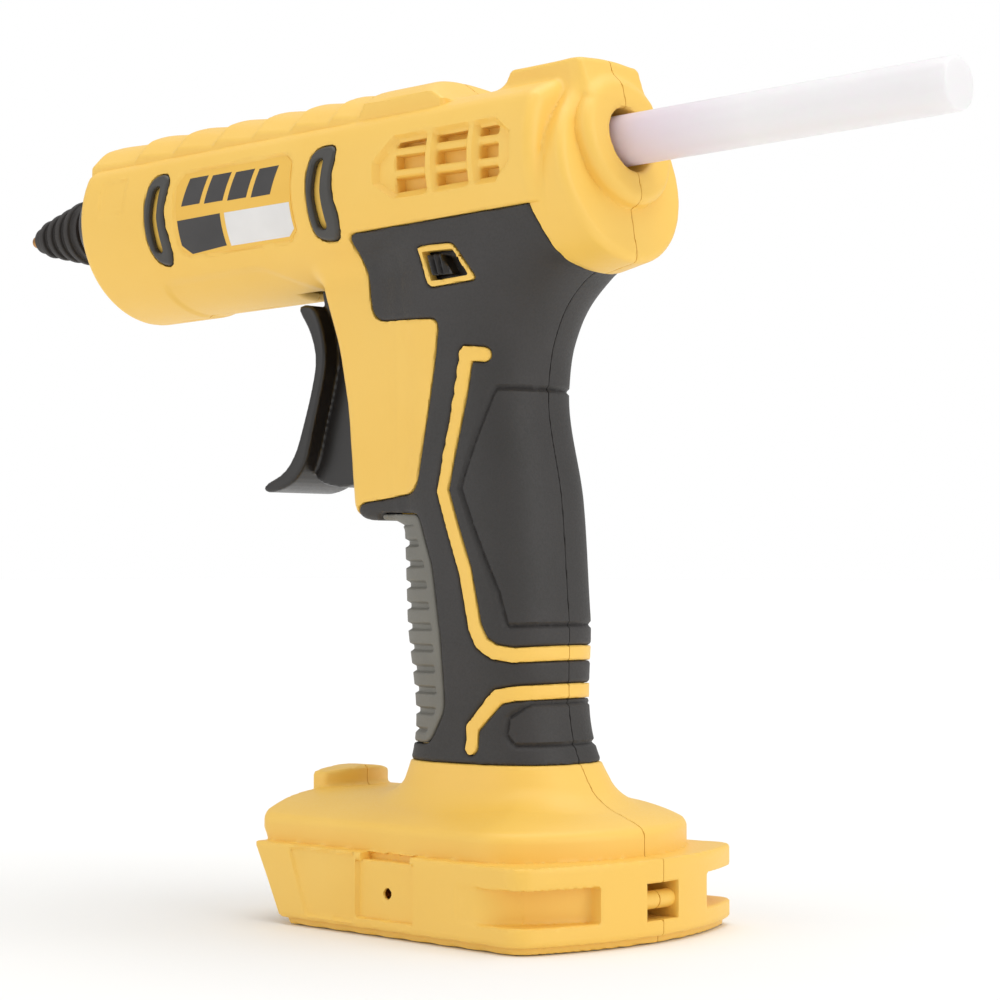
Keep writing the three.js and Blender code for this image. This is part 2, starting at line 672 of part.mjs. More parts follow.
const SIDES = { left: -1, right: 1 };
for (const [sideName, side] of Object.entries(SIDES)) {
  for (const [place, points] of Object.entries(BUMPERS)) {
    const frame = sidePatch(points, side, -0.4, BUMPER_DEPTH);
    const slot = wall(bumperSlot(BUMPER_SLOT[place]), -45, 45);
    piece(`bumper_${place}_${sideName}`, frame.subtract(slot), "black");
  }
  piece(`decal_${sideName}`, sidePatch(DECAL, side, 0, DECAL_DEPTH), "label");
  const y = side < 0 ? [-INSERT.to, -INSERT.from] : [INSERT.from, INSERT.to];
  const insert = rodY(INSERT.r, HOOK.holeX, HOOK.holeZ, ...y, 16);
  const thread = rodY(HOOK.holeR, HOOK.holeX, HOOK.holeZ, y[0] - 1, y[1] + 1, 12);
  piece(`hook_insert_${sideName}`, insert.subtract(thread), "brass");
}
SCREWS.forEach((place, i) => piece(`housing_screw_${i + 1}`, screwBody(place), "steel"));

// ---------------------------------------------------------------- trigger and feed
const TRIGGER_FACE = [
  [-55, 142.2], [-50.2, 136], [-48, 129], [-50, 121], [-52.4, 114], [-55, 107], [-59, 102.4],
  [-65.7, 100], [-65.2, 98], [-60, 98.6], [-55, 100.6], [-51.4, 105], [-49, 114], [-46.8, 121],
  [-44.8, 129], [-46, 136], [-49, 142.2],
];
const TRIGGER_WEB = [
  [-50.5, 142.2], [-51, 152], [-51, 156.5], [-43, 156.5], [-41, 150], [-34, 143], [-31.5, 128],
  [-32, 110], [-36, 101], [-44, 98.6], [-54, 101], [-51, 108], [-48.4, 116], [-46.4, 124],
  [-46.2, 130], [-47.5, 136],
];
const FORK = { inner: 9.4, outer: 12, base: 156.4, floor: 160.4, top: 176 };
function trigger() {
  const slotHalf = TRUNNION_R + GAP;
  const [pinX, pinZ] = onBarrel(CARRIAGE.middle, 0);
  const yoke = box(-51, -43, -FORK.outer, FORK.outer, FORK.base - 0.1, FORK.floor);
  const arms = [-1, 1].map((side) => {
    const y = side < 0 ? [-FORK.outer, -FORK.inner] : [FORK.inner, FORK.outer];
    return box(-51, -43, ...y, FORK.floor - 0.1, FORK.top);
  });
  const face = wall(TRIGGER_FACE, -TRIGGER_HALF, TRIGGER_HALF);
  const web = wall(TRIGGER_WEB, -WEB_HALF, WEB_HALF);
  return cutBy(
    joined(face, web, yoke, ...arms),
    rodY(PIN_R + GAP, PIVOT_X, PIVOT_Z, -20, 20),
    box(pinX - slotHalf, pinX + slotHalf, -20, 20, pinZ - 4, FORK.top + 1),
  );
}

// The carriage's middle lies square above the trigger's pivot.
const CARRIAGE = {
  middle: (PIVOT_X - BORE_X) * Math.cos(BARREL_TILT) + (PIVOT_Z - BORE_Z) * Math.sin(BARREL_TILT),
  half: 6,
  r: 8.6,
  bore: STICK_R + STICK_CLEARANCE + 0.15,
};
function carriage() {
  const { middle, half, r, bore } = CARRIAGE;
  const block = rodX(r, middle - half, middle + half);
  const trunnion = rodY(TRUNNION_R, middle, 0, -12, 12, 16);
  return cutBy(block.add(trunnion), rodX(bore, middle - 20, middle + 20), clawSlot(GAP));
}

// Spring-steel gripping plate in a slot across the top of the carriage.
const CLAW = { x0: 2.2, x1: 3.2, half: 3.2, bottom: 6.1, top: 11.4 };
const clawSlot = (clearance) =>
  box(
    CARRIAGE.middle + CLAW.x0 - clearance - 0.6,
    CARRIAGE.middle + CLAW.x1 + clearance + 0.6,
    -CLAW.half - clearance,
    CLAW.half + clearance,
    0,
    20,
  );
const claw = () =>
  box(CARRIAGE.middle + CLAW.x0, CARRIAGE.middle + CLAW.x1, -CLAW.half, CLAW.half, CLAW.bottom, CLAW.top);

piece("trigger", trigger(), "black");
piece("trigger_pin", rodY(PIN_R, PIVOT_X, PIVOT_Z, -PIN_HALF, PIN_HALF), "steel");
piece("feed_carriage", carriage(), "white", barrelGroup);
piece("feed_claw", claw(), "steel", barrelGroup);
const glueStick = rodX(STICK_R, STICK_OUT - STICK_LENGTH, STICK_OUT, undefined, 32);
piece("glue_stick", glueStick, "glue", barrelGroup);
piece("guide_tube", tubeX(TUBE.r, TUBE.bore, TUBE.front, TUBE.rear), "aluminium", barrelGroup);

// ---------------------------------------------------------------- melt unit and nozzle
const CHAMBER = { front: -150, rear: -110, stub: -168 };
function meltChamber() {
  const bore = STICK_R + STICK_CLEARANCE;
  const round = turned([
    [CHAMBER.stub, 4.3], [CHAMBER.stub, 7.2], [CHAMBER.front, 7.2], [CHAMBER.front, CHAMBER_R],
    [CHAMBER.rear, CHAMBER_R], [CHAMBER.rear, bore], [-138, bore], [-148, 1.5], [-156, 1.5],
    [-156, 4.3], [CHAMBER.stub, 4.3],
  ]);
  const saddle = box(CHAMBER.front + 8, CHAMBER.rear - 2, -7, 7, -11.5, -7.5);
  return round.add(saddle);
}
const HEATER = { x0: -140, x1: -114, half: 6, bottom: -14.3, top: -11.8 };

// The collar's flange sits behind the barrel's front wall.
function frontCollar() {
  const bore = 8.6;
  const front = -172.3;
  const flange = [BARREL_FRONT + 4.3, BARREL_FRONT + 6.6];
  return turned([
    [front, bore], [front, COLLAR_R - 1.4], [front + 1.5, COLLAR_R], [flange[0], COLLAR_R],
    [flange[0], COLLAR_R + 2], [flange[1], COLLAR_R + 2], [flange[1], bore], [front, bore],
  ]);
}

function nozzle() {
  return turned([
    [NOZZLE_TIP, 0.8], [NOZZLE_TIP, 1.5], [-198.6, 2], [-190, 3.4], [-176, 5.2], [-174.8, 6.6], [-169, 6.6],
    [-169, 4], [-157, 4], [-157, 0.8], [NOZZLE_TIP, 0.8],
  ]);
}

// Heat-guard sleeve over the nozzle, with cooling fins.
function nozzleBoot() {
  const profile = [[-198.6, 2.4], [-198.6, 3.3]];
  const fins = 4;
  for (let i = 0; i < fins; i += 1) {
    const x = -195 + i * 4.6;
    const r = 3.7 + i * 1.1;
    profile.push([x, r], [x, r + 1.3], [x + 2, r + 1.5], [x + 2, r + 0.5]);
  }
  profile.push([-176.3, 8], [-176.3, 5.8], [-190, 3.8], [-198.6, 2.4]);
  return turned(profile, undefined, 16);
}

piece("melt_chamber", meltChamber(), "aluminium", barrelGroup);
const heaterPlate = box(HEATER.x0, HEATER.x1, -HEATER.half, HEATER.half, HEATER.bottom, HEATER.top);
piece("heater_plate", heaterPlate, "white", barrelGroup);
piece("thermal_cutout", box(-132, -122, -2.4, 2.4, CHAMBER_R + GAP, CHAMBER_R + 2), "black", barrelGroup);
const shieldPlace = new THREE.Matrix4().makeTranslation(0, 0, -BARREL_DROP);
const heatShield = tubeX(SHIELD_R, SHIELD_R - 0.7, CHAMBER.front + 1, CHAMBER.rear, shieldPlace);
piece("heat_shield", heatShield, "steel", barrelGroup);
const inletSeal = tubeX(CHAMBER_R, STICK_R + STICK_CLEARANCE, CHAMBER.rear + GAP, CHAMBER.rear + 8);
piece("inlet_seal", inletSeal, "silicone", barrelGroup);
piece("front_collar", frontCollar(), "black", barrelGroup);
piece("nozzle", nozzle(), "brass", barrelGroup);
piece("nozzle_boot", nozzleBoot(), "black", barrelGroup);

// ---------------------------------------------------------------- electrics
const SLIDER_BASE = { x0: -9.4, x1: 6.4, z0: 142.8, z1: 151.4, thick: 1.2 };
const sliderBase = box(
  SLIDER_BASE.x0,
  SLIDER_BASE.x1,
  -SLIDER_BACK,
  -SLIDER_BACK + SLIDER_BASE.thick,
  SLIDER_BASE.z0,
  SLIDER_BASE.z1,
);
const sliderButton = wall(SLIDER_BUTTON, SLIDER_FACE, -SLIDER_BACK + 0.1);
piece("power_slider", sliderBase.add(sliderButton), "black");
piece("switch_body", box(-9, 9.6, -13.4, -9.8, 142.6, 151.6), "black");

const BOARD = { front: -11, rear: 11, bottom: 50, top: 96, thick: 0.8 };
const board = box(BOARD.front, BOARD.rear, -BOARD.thick, BOARD.thick, BOARD.bottom, BOARD.top);
piece("control_board", board, "board");
piece("board_heat_sink", box(-8, 8, BOARD.thick + GAP, 6, 60, 80), "aluminium");
piece("lamp_lens", lensSeat(0).intersect(box(-49.9, -40, -20, 20, 20, 40)), "white");

const terminalBlock = box(
  TERMINAL.front, TERMINAL.rear, -TERMINAL.half, TERMINAL.half, TERMINAL.bottom, TERMINAL.top,
);
const BLADE = { pitch: 6, half: 0.4, front: 1, bottom: 8.5, top: 13.5, depth: 3 };
const bladeY = [0, 1, 2, 3].map((i) => (i - 1.5) * BLADE.pitch);
const bladeBox = (y, front, grow) =>
  box(
    front,
    TERMINAL.front + BLADE.depth - GAP + grow,
    y - BLADE.half - grow,
    y + BLADE.half + grow,
    BLADE.bottom - grow,
    BLADE.top + grow,
  );
const bladeSlots = bladeY.map((y) => bladeBox(y, TERMINAL.front - 1, GAP));
piece("terminal_block", cutBy(terminalBlock, ...bladeSlots), "black");
bladeY.forEach((y, i) => piece(`terminal_blade_${i + 1}`, bladeBox(y, BLADE.front, 0), "brass"));

// A lead laid along fixed points inside the shell.
function lead(points, r = 0.9) {
  const route = new THREE.CatmullRomCurve3(
    points.map((point) => new THREE.Vector3(...point)),
    false,
    "centripetal",
  );
  const section = new THREE.Shape();
  section.absarc(0, 0, r, 0, 2 * Math.PI, false);
  const options = { steps: 18, curveSegments: 2, extrudePath: route, bevelEnabled: false };
  return solid(new THREE.ExtrudeGeometry(section, options));
}

for (const [sideName, side] of Object.entries(SIDES)) {
  const y = side * 3;
  const batteryRoute = [[18, y, TERMINAL.top + 0.5], [16, y, 32], [12.8, y, 40], [4, y, 47], [4, y, 56]];
  piece(`battery_lead_${sideName}`, lead(batteryRoute), "silicone");
  const [heaterX, heaterZ] = onBarrel(-107, -12.5);
  piece(
    `heater_lead_${sideName}`,
    lead([
      [2, side * 2.6, 90], [2, side * 3, 112], [-4, side * 4, 130], [-7, side * 5.5, 142], [-14, side * 8.6, 151],
      [-24, side * 13.5, 157], [-36, side * 17, 162], [-56, side * 17, 161.5], [heaterX, side * 10, heaterZ],
    ]),
    "silicone",
  );
}

export default root;
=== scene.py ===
"""Looks of a cordless hot-melt glue gun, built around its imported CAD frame.

Shapes are written in the tool's own frame, in millimetres: X to the rear, Z up, w the distance
from the middle plane. Each moulded piece is a distance field (negative inside) that is skinned
into a mesh; round pieces are turned from a profile.
"""
import math

import bmesh
import bpy
import numpy as np
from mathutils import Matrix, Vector


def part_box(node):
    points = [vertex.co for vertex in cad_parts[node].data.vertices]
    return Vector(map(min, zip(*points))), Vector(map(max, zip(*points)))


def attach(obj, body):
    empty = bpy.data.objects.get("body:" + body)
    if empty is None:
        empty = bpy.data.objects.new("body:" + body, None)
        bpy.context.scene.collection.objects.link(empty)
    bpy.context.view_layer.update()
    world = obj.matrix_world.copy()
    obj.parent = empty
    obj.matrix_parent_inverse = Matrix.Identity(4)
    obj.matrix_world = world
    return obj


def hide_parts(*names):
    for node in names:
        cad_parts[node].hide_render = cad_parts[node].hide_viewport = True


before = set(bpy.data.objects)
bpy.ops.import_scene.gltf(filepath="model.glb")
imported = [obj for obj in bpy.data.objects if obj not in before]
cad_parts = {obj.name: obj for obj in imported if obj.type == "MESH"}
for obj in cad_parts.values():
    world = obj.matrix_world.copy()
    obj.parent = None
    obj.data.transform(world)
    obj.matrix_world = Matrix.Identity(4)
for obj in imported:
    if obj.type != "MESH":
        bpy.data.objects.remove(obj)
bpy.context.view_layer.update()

# ------------------------------------------------------------------ driving sizes, in mm
MM = 0.001
BORE_X, BORE_Z = 38.2, 173.2  # middle of the feed ring's rear face
BARREL_TILT = math.radians(1.8)
FLANGE_TILT = math.radians(12.6)
NOZZLE_TIP, STICK_OUT = -201.7, 82.3
SHIFT = -(BORE_X + (NOZZLE_TIP + STICK_OUT) / 2 * math.cos(BARREL_TILT))

BARREL_R, BARREL_DROP = 24.0, 2.4
CROWN_R, CROWN_DROP = 42.08, 27.08
BARREL_FRONT, BARREL_REAR = -157.0, -9.0
BARREL_WALL, VENT_WALL = 2.8, 6.0
RAIL_HALF, RAIL_CROWN_R, RAIL_CROWN_DROP = 18.7, 34.5, 14.5
BLOCK_HALF, BLOCK_TOP = 10.5, 18.4
RING_R, INLET_R, FLANGE_R, FLANGE_DROP = 14.5, 7.1, 20.5, 6.0
GRIP_DEPTH, HANDLE_WALL = 1.8, 2.3
SEAM = 0.1
STICK_R, STICK_LENGTH = 5.65, 200.0


# ------------------------------------------------------------------ distance fields
def round_max(a, b, r):
    """Intersection of two fields with its edge rounded to radius r."""
    return np.minimum(np.maximum(a, b), -r) + np.hypot(np.maximum(a + r, 0), np.maximum(b + r, 0))


def round_min(a, b, r):
    """Union of two fields with a fillet of radius r between them."""
    return np.maximum(np.minimum(a, b), r) - np.hypot(np.maximum(r - a, 0), np.maximum(r - b, 0))


def near_line(points, u, v):
    """Distance to an open line through points."""
    best = np.full(u.shape, 1e9, u.dtype)
    for (ax, ay), (bx, by) in zip(points, points[1:]):
        ex, ey = bx - ax, by - ay
        t = np.clip(((u - ax) * ex + (v - ay) * ey) / (ex * ex + ey * ey), 0, 1)
        np.minimum(best, (u - ax - ex * t) ** 2 + (v - ay - ey * t) ** 2, out=best)
    return np.sqrt(best)


def outline(points, u, v):
    """Signed distance to a closed outline, negative inside."""
    inside = np.zeros(u.shape, bool)
    for (ax, ay), (bx, by) in zip(points, points[1:] + points[:1]):
        if ay != by:
            inside ^= ((ay > v) != (by > v)) & (u - ax < (bx - ax) * (v - ay) / (by - ay))
    return near_line(points + points[:1], u, v) * np.where(inside, -1, 1)


def rounded(points, radius, steps=3):
    """The same outline with each corner turned into a short curve."""
    made = []
    for i, corner in enumerate(points):
        corner = Vector(corner)
        before, after = Vector(points[i - 1]), Vector(points[(i + 1) % len(points)])
        back = min(radius, (before - corner).length * 0.45)
        ahead = min(radius, (after - corner).length * 0.45)
        start = corner + (before - corner).normalized() * back
        end = corner + (after - corner).normalized() * ahead
        for k in range(steps + 1):
            t = k / steps
            made.append(tuple((1 - t) ** 2 * start + 2 * t * (1 - t) * corner + t * t * end))
    return made


def ramp(value, width):
    """1 well inside a region, 0 outside, over a border of one width."""
    t = np.clip(0.5 - value / width, 0, 1)
    return t * t * (3 - 2 * t)


def slab(value, low, high):
    return np.maximum(low - value, value - high)


def within(field, x, w, z, box, change):
    """Changes a field only inside the box x0, x1, z0, z1."""
    x0, x1, z0, z1 = box
    near = (x > x0) & (x < x1) & (z > z0) & (z < z1)
    if near.any():
        field[near] = change(field[near], x[near], w[near], z[near])
    return field


def turned_frame(tilt):
    c, s = math.cos(tilt), math.sin(tilt)
    return lambda x, z: (
        (x - BORE_X) * c + (z - BORE_Z) * s,
        (z - BORE_Z) * c - (x - BORE_X) * s,
    )


on_barrel = turned_frame(BARREL_TILT)
on_flange = turned_frame(FLANGE_TILT)


# ------------------------------------------------------------------ skin of a field
def skin(field, low, high, pitch):
    """Vertices and quads of the surface where field is zero, sharp edges kept."""
    block = 5
    low = np.array(low, float)
    blocks = np.ceil((np.array(high) - low) / (pitch * block)).astype(int)
    cells = blocks * block
    middles = [low[i] + pitch * block * (np.arange(blocks[i]) + 0.5) for i in range(3)]
    mesh = np.meshgrid(*middles, indexing="ij")
    rough = field(*[m.ravel() for m in mesh]).reshape(blocks)
    close = np.abs(rough) < pitch * block * 1.35
    wide = close
    for axis in range(3):
        wide = np.repeat(wide, block, axis)
    needed = np.zeros(cells + 1, bool)
    for a in (0, 1):
        for b in (0, 1):
            for c in (0, 1):
                needed[a : a + cells[0], b : b + cells[1], c : c + cells[2]] |= wide
    inside = np.zeros(cells + 1, bool)
    solid = rough < 0
    for axis in range(3):
        solid = np.repeat(solid, block, axis)
    inside[:-1, :-1, :-1] = solid
    value = np.zeros(cells + 1, np.float32)
    at = np.nonzero(needed)
    value[at] = field(*[(low[i] + pitch * at[i]).astype(np.float32) for i in range(3)])
    inside[at] = value[at] < 0

    count = np.zeros(cells, np.uint8)
    for a in (0, 1):
        for b in (0, 1):
            for c in (0, 1):
                count += inside[a : a + cells[0], b : b + cells[1], c : c + cells[2]]
    active = (count > 0) & (count < 8) & wide
    number = np.full(cells, -1, np.int32)
    corner = np.nonzero(active)
    total = len(corner[0])
    number[corner] = np.arange(total)

    sums = np.zeros((total, 13))
    faces = []
    for axis in range(3):
        first = [slice(None)] * 3
        second = [slice(None)] * 3
        first[axis], second[axis] = slice(0, -1), slice(1, None)
        edge = np.nonzero((inside[tuple(first)] != inside[tuple(second)])
                          & needed[tuple(first)] & needed[tuple(second)])
        other = list(edge)
        other[axis] = edge[axis] + 1
        v0, v1 = value[edge].astype(float), value[tuple(other)].astype(float)
        point = [low[i] + pitch * edge[i].astype(float) for i in range(3)]
        point[axis] = point[axis] + pitch * v0 / (v0 - v1)
        normal = gradient(field, point)
        height = sum(normal[i] * (point[i] - low[i]) for i in range(3))
        terms = [
            normal[0] ** 2, normal[0] * normal[1], normal[0] * normal[2],
            normal[1] ** 2, normal[1] * normal[2], normal[2] ** 2,
            *[n * height for n in normal],
            *[point[i] - low[i] for i in range(3)],
            np.ones(len(v0)),
        ]
        u, v = (axis + 1) % 3, (axis + 2) % 3
        around = []
        for du, dv in ((1, 1), (0, 1), (0, 0), (1, 0)):
            cell = list(edge)
            cell[u], cell[v] = edge[u] - du, edge[v] - dv
            good = (cell[u] >= 0) & (cell[v] >= 0) & (cell[u] < cells[u]) & (cell[v] < cells[v])
            ids = np.full(len(v0), -1)
            ids[good] = number[tuple(c[good] for c in cell)]
            around.append(ids)
            known = ids >= 0
            for k, term in enumerate(terms):
                sums[:, k] += np.bincount(ids[known], term[known], total)
        quad = np.stack(around, 1)
        quad[v0 >= 0] = quad[v0 >= 0][:, ::-1]
        faces.append(quad[(quad >= 0).all(1)])

    mass = sums[:, 9:12] / np.maximum(sums[:, 12:13], 1)
    a = np.empty((total, 3, 3))
    for k, (i, j) in enumerate(((0, 0), (0, 1), (0, 2), (1, 1), (1, 2), (2, 2))):
        a[:, i, j] = a[:, j, i] = sums[:, k]
    b = sums[:, 6:9] - np.einsum("nij,nj->ni", a, mass)
    a += np.eye(3) * 0.04
    inverse = np.stack([np.cross(a[:, 1], a[:, 2]), np.cross(a[:, 2], a[:, 0]),
                        np.cross(a[:, 0], a[:, 1])], 1)
    size = (a[:, 0] * inverse[:, 0]).sum(1)
    move = (inverse * b[:, :, None]).sum(1) / size[:, None]
    corner_mm = np.stack(corner, 1) * pitch
    spot = np.clip(mass + move, corner_mm + 0.02 * pitch, corner_mm + 0.98 * pitch)
    return spot + low, np.concatenate(faces)


def gradient(field, point):
    """Unit direction in which the field grows, from four nearby samples."""
    step = 0.02
    total = [0, 0, 0]
    for turn in ((1, -1, -1), (-1, -1, 1), (-1, 1, -1), (1, 1, 1)):
        sample = field(*[p + step * t for p, t in zip(point, turn)])
        total = [g + t * sample for g, t in zip(total, turn)]
    length = np.maximum(np.sqrt(sum(g * g for g in total)), 1e-9)
    return [g / length for g in total]


# ------------------------------------------------------------------ the moulded body
STEP_FRONTS = (-140, -126, -112, -98.5, -85.5, -73)
RAIL_STEPS = [(-170, 0.0)]
for _front in STEP_FRONTS:
    RAIL_STEPS += [(_front - 1.2, -1.3), (_front + 0.4, 0.0)]
RAIL_STEPS += [(-64.5, -1.3), (-63.7, 0.0), (0, 0.0)]
RAIL_SIDE = [(-158, 0), (-157, 17), (-154, 21.5), (-51, 21.5), (-38.6, 12.5), (-38.6, 0)]
BLOCK_SIDE = [(-29.5, 9), (-29, 12), (-25.3, 18.9), (-6, 18.9), (-3, 9)]

HANDLE_Z = [24, 31, 37, 70, 95, 121, 131, 140, 145, 150, 160]
HANDLE_FRONT = [-24, -22, -20, -21, -22, -24, -25, -26, -26, -26, -25]
HANDLE_REAR = [30, 27, 23.6, 20.3, 18.3, 14.6, 16.5, 21.5, 27, 34, 37]
HANDLE_HALF = [20, 18.6, 17, 17, 17, 16, 16.4, 17.6, 18.2, 18.6, 16.5]
SQUARENESS = 2.6


def eased(heights, values):
    """A smooth table through (height, value) pairs that keeps each pair."""
    h, v = np.array(heights, float), np.array(values, float)
    slope = np.gradient(v, h)
    fine = np.linspace(h[0], h[-1], 280)
    i = np.clip(np.searchsorted(h, fine, "right") - 1, 0, len(h) - 2)
    run = h[i + 1] - h[i]
    t = (fine - h[i]) / run
    made = (
        (1 + 2 * t) * (1 - t) ** 2 * v[i] + t * (1 - t) ** 2 * run * slope[i]
        + t * t * (3 - 2 * t) * v[i + 1] - t * t * (1 - t) * run * slope[i + 1]
    )
    return fine, made


FRONT_CURVE = eased(HANDLE_Z, HANDLE_FRONT)
REAR_CURVE = eased(HANDLE_Z, HANDLE_REAR)
HALF_CURVE = eased(HANDLE_Z, HANDLE_HALF)


def handle_body(x, w, z):
    front, rear, half = (np.interp(z, *curve).astype(x.dtype)
                         for curve in (FRONT_CURVE, REAR_CURVE, HALF_CURVE))
    reach = (rear - front) / 2
    u = np.abs(x - (front + rear) / 2) / reach + 1e-6
    v = np.abs(w) / half + 1e-6
    n = SQUARENESS
    size = (u**n + v**n) ** (1 / n)
    slope = size ** (1 - n) * np.hypot(u ** (n - 1) / reach, v ** (n - 1) / half)
    xf, _ = on_flange(x, z)
    return round_max(np.maximum((size - 1) / slope, slab(z, 24, 160)), xf + 4.5, 2.0)


GUARD = rounded([(-15, 91), (-30, 91), (-33.2, 93), (-35.4, 117), (-38.3, 131), (-43.5, 145),
                 (-45, 160), (-15, 160)], 3)
FOOT_HALF, FOOT_WIDEST, FOOT_TAPER = 36.18, 20.47, math.radians(4.7)
# Rear radius, its centre, corner radius and the corner's centre, of the rim and of its crown.
FOOT_RIM = (80.0, -33.5, 6.0, (33.55, 31.23))
FOOT_CROWN = (48.0, -3.5, 15.0, (21.7, 21.23))
RIM_TOP, DECK = 18.0, 29.2
LAMP_HALF, LAMP_FRONT, LAMP_TOP = 10.7, -49.0, 33.8


def foot_plan(x, w, shape=FOOT_RIM):
    """Distance to the foot's outline seen from above: tapered sides, round corners, a rear arc."""
    w = np.abs(w)
    rear_r, centre, corner_r, (cx, cw) = shape
    side = (w - FOOT_HALF + (FOOT_WIDEST - x) * math.tan(FOOT_TAPER)) * math.cos(FOOT_TAPER)
    rear = np.hypot(np.maximum(x - centre, 0), w) - rear_r
    join, end = math.atan2(cw, cx - centre), math.pi / 2 + FOOT_TAPER
    past_rear = (w - cw) * math.cos(join) - (x - cx) * math.sin(join) > 0
    past_side = (x - cx) * math.sin(end) - (w - cw) * math.cos(end) > 0
    corner = np.hypot(x - cx, w - cw) - corner_r
    return np.where(past_rear & past_side, corner, np.maximum(side, rear))


def foot_front(x, z):
    """The nose leans forward up to the deck's edge, then back."""
    lean = ((-38.4 - x) - z * (11.1 / 20.5)) * 0.879
    upright = -49.5 - x
    return round_max(lean, upright, 1.0)


def foot_body(x, w, z):
    plan = foot_plan(x, w)
    nose = foot_front(x, z)
    rim = round_max(round_max(plan, slab(z, 1.5, RIM_TOP), 0.9), nose, 1.2)
    lip = round_max(round_max(plan + 1.6, slab(z, 0.03, 3), 0.5), nose + 1.2, 0.8)
    crown = foot_plan(x, w, FOOT_CROWN) + 3.2
    edge = round_max(crown, nose, 3.0)
    crest = (z - 23.6 + 0.55 * crown) * 0.876
    dome = round_max(round_max(edge, crest, 1.3), z - DECK, 5.0)
    dome = np.maximum(dome, 15 - z)
    return np.minimum(round_min(rim, dome, 0.5), lip)


def lamp_body(x, w, z):
    rear = x + 44.5 - 3.25 * (1 - (w / LAMP_HALF) ** 2)
    plan = round_max(round_max(np.abs(w) - LAMP_HALF, rear, 0.8), LAMP_FRONT - x, 1.0)
    crown = z - LAMP_TOP + 1.3 * (w / LAMP_HALF) ** 2
    return np.maximum(round_max(plan, crown, 1.0), 22 - z)


def tube(w, zb):
    return round_max(np.hypot(w, zb + BARREL_DROP) - BARREL_R,
                     np.hypot(w, zb + CROWN_DROP) - CROWN_R, 0.8)


def rail_body(xb, w, zb):
    step = np.interp(xb, *zip(*RAIL_STEPS)).astype(xb.dtype)
    crown = np.hypot(w, zb + RAIL_CROWN_DROP) - RAIL_CROWN_R - step
    plain = 2.6 * ramp(-62.7 - xb, 0.8)
    shoulder = (np.abs(w) - RAIL_HALF + zb - 12.8 - step) * 0.7071 - plain
    top = round_max(round_max(crown, np.abs(w) - RAIL_HALF, 0.4), shoulder, 0.5)
    return round_max(top, outline(RAIL_SIDE, xb, zb), 1.0)


def rear_body(xf, w, zf):
    plate = round_max(np.hypot(w, zf + FLANGE_DROP) - FLANGE_R, slab(xf, -15, -4), 2.0)
    tab = round_max(round_max(np.abs(w) - BLOCK_HALF, zf - BLOCK_TOP, 2.4), slab(xf, -15, -4), 2.0)
    tab = np.maximum(tab, -zf)
    ring = round_max(np.hypot(w, zf) - RING_R, slab(xf, -9, 0), 2.6)
    return np.minimum(round_min(plate, tab, 5.0), ring)


def body(x, w, z):
    xb, zb = on_barrel(x, z)
    barrel = round_max(tube(w, zb), slab(xb, BARREL_FRONT, BARREL_REAR), 3.0)
    d = barrel

    def with_rail(d, x, w, z):
        xb, zb = on_barrel(x, z)
        return round_min(d, rail_body(xb, w, zb), 0.3)

    def with_block(d, x, w, z):
        xb, zb = on_barrel(x, z)
        crowned = np.hypot(w, zb + 61.6) - 80.0
        block = round_max(np.abs(w) - BLOCK_HALF, outline(BLOCK_SIDE, xb, zb), 1.4)
        return round_min(d, round_max(block, crowned, 1.0), 2.0)

    def with_rear(d, x, w, z):
        xf, zf = on_flange(x, z)
        return round_min(d, rear_body(xf, w, zf), 0.9)

    within(d, x, w, z, (-130, 12, 168, 200), with_rail)
    within(d, x, w, z, (-10, 60, 140, 200), with_rear)
    within(d, x, w, z, (-10, 60, 140, 200), with_block)
    low = z < 170
    if low.any():
        lx, lw, lz = x[low], w[low], z[low]
        grown = round_min(d[low], handle_body(lx, lw, lz), 4.0)
        guard = round_max(outline(GUARD, lx, lz), np.abs(lw) - 14.5, 3.5)
        d[low] = round_min(grown, guard, 3.0)
    return within(d, x, w, z, (-70, 60, -10, 60), lambda d, x, w, z: round_min(
        round_min(d, foot_body(x, w, z), 5.0), lamp_body(x, w, z), 1.2))


# ------------------------------------------------------------------ outlines on the body
GRIP = rounded([(-28.7, 156.2), (28, 158.6), (60, 158.6), (60, 37), (-60, 37), (-60, 86),
                (-31.5, 89), (-32, 92.5), (-29.5, 95.2), (-25.7, 95.4), (-13, 97), (-10.8, 99),
                (-3.8, 135.6), (-15, 136), (-24, 136.2), (-26.5, 138.6)], 2.4)
PAD = rounded([(-60, 84), (-27, 86.5), (-24.5, 92.4), (-10.3, 92.1), (-5.6, 80.4), (-3.3, 65.5),
               (-2.8, 48.6), (-7.5, 41.1), (-60, 41.1)], 2)
INLAYS = (
    [(7.3, 127.2), (3.4, 127.6), (-2.3, 97.2), (4.2, 79.5), (6.7, 67.3), (8.4, 63.6),
     (11.2, 61.7), (15, 61), (60, 64.4)],
    [(5.6, 40.7), (5.6, 44.9), (11.7, 51.9), (15, 52.6), (60, 56.2)],
)
INLAY_HALF = 1.6
PALM_LINES = (
    [(60, 120.8), (9.6, 119.8), (8.9, 118.7), (2.8, 97.7), (12.1, 74.8), (14, 67.3), (60, 69)],
    [(60, 50.9), (17.5, 50.3), (14, 47.4), (13.6, 43.6), (15.6, 41.2), (60, 41.6)],
)
SWITCH_FRAME = rounded([(-8.9, 151.9), (2.3, 151.9), (8.4, 143.5), (-5.6, 142.6)], 1.6)
SWITCH_WINDOW = rounded([(-7.2, 150.6), (2.2, 150.6), (6.4, 144.5), (-4.6, 143.9)], 0.6)
OCTAGON = [(-17.3, 166), (-11.5, 162.2), (18.5, 163.2), (23.4, 167.5), (23.4, 174),
           (18.5, 177.7), (-11.5, 176.7), (-17.3, 171)]
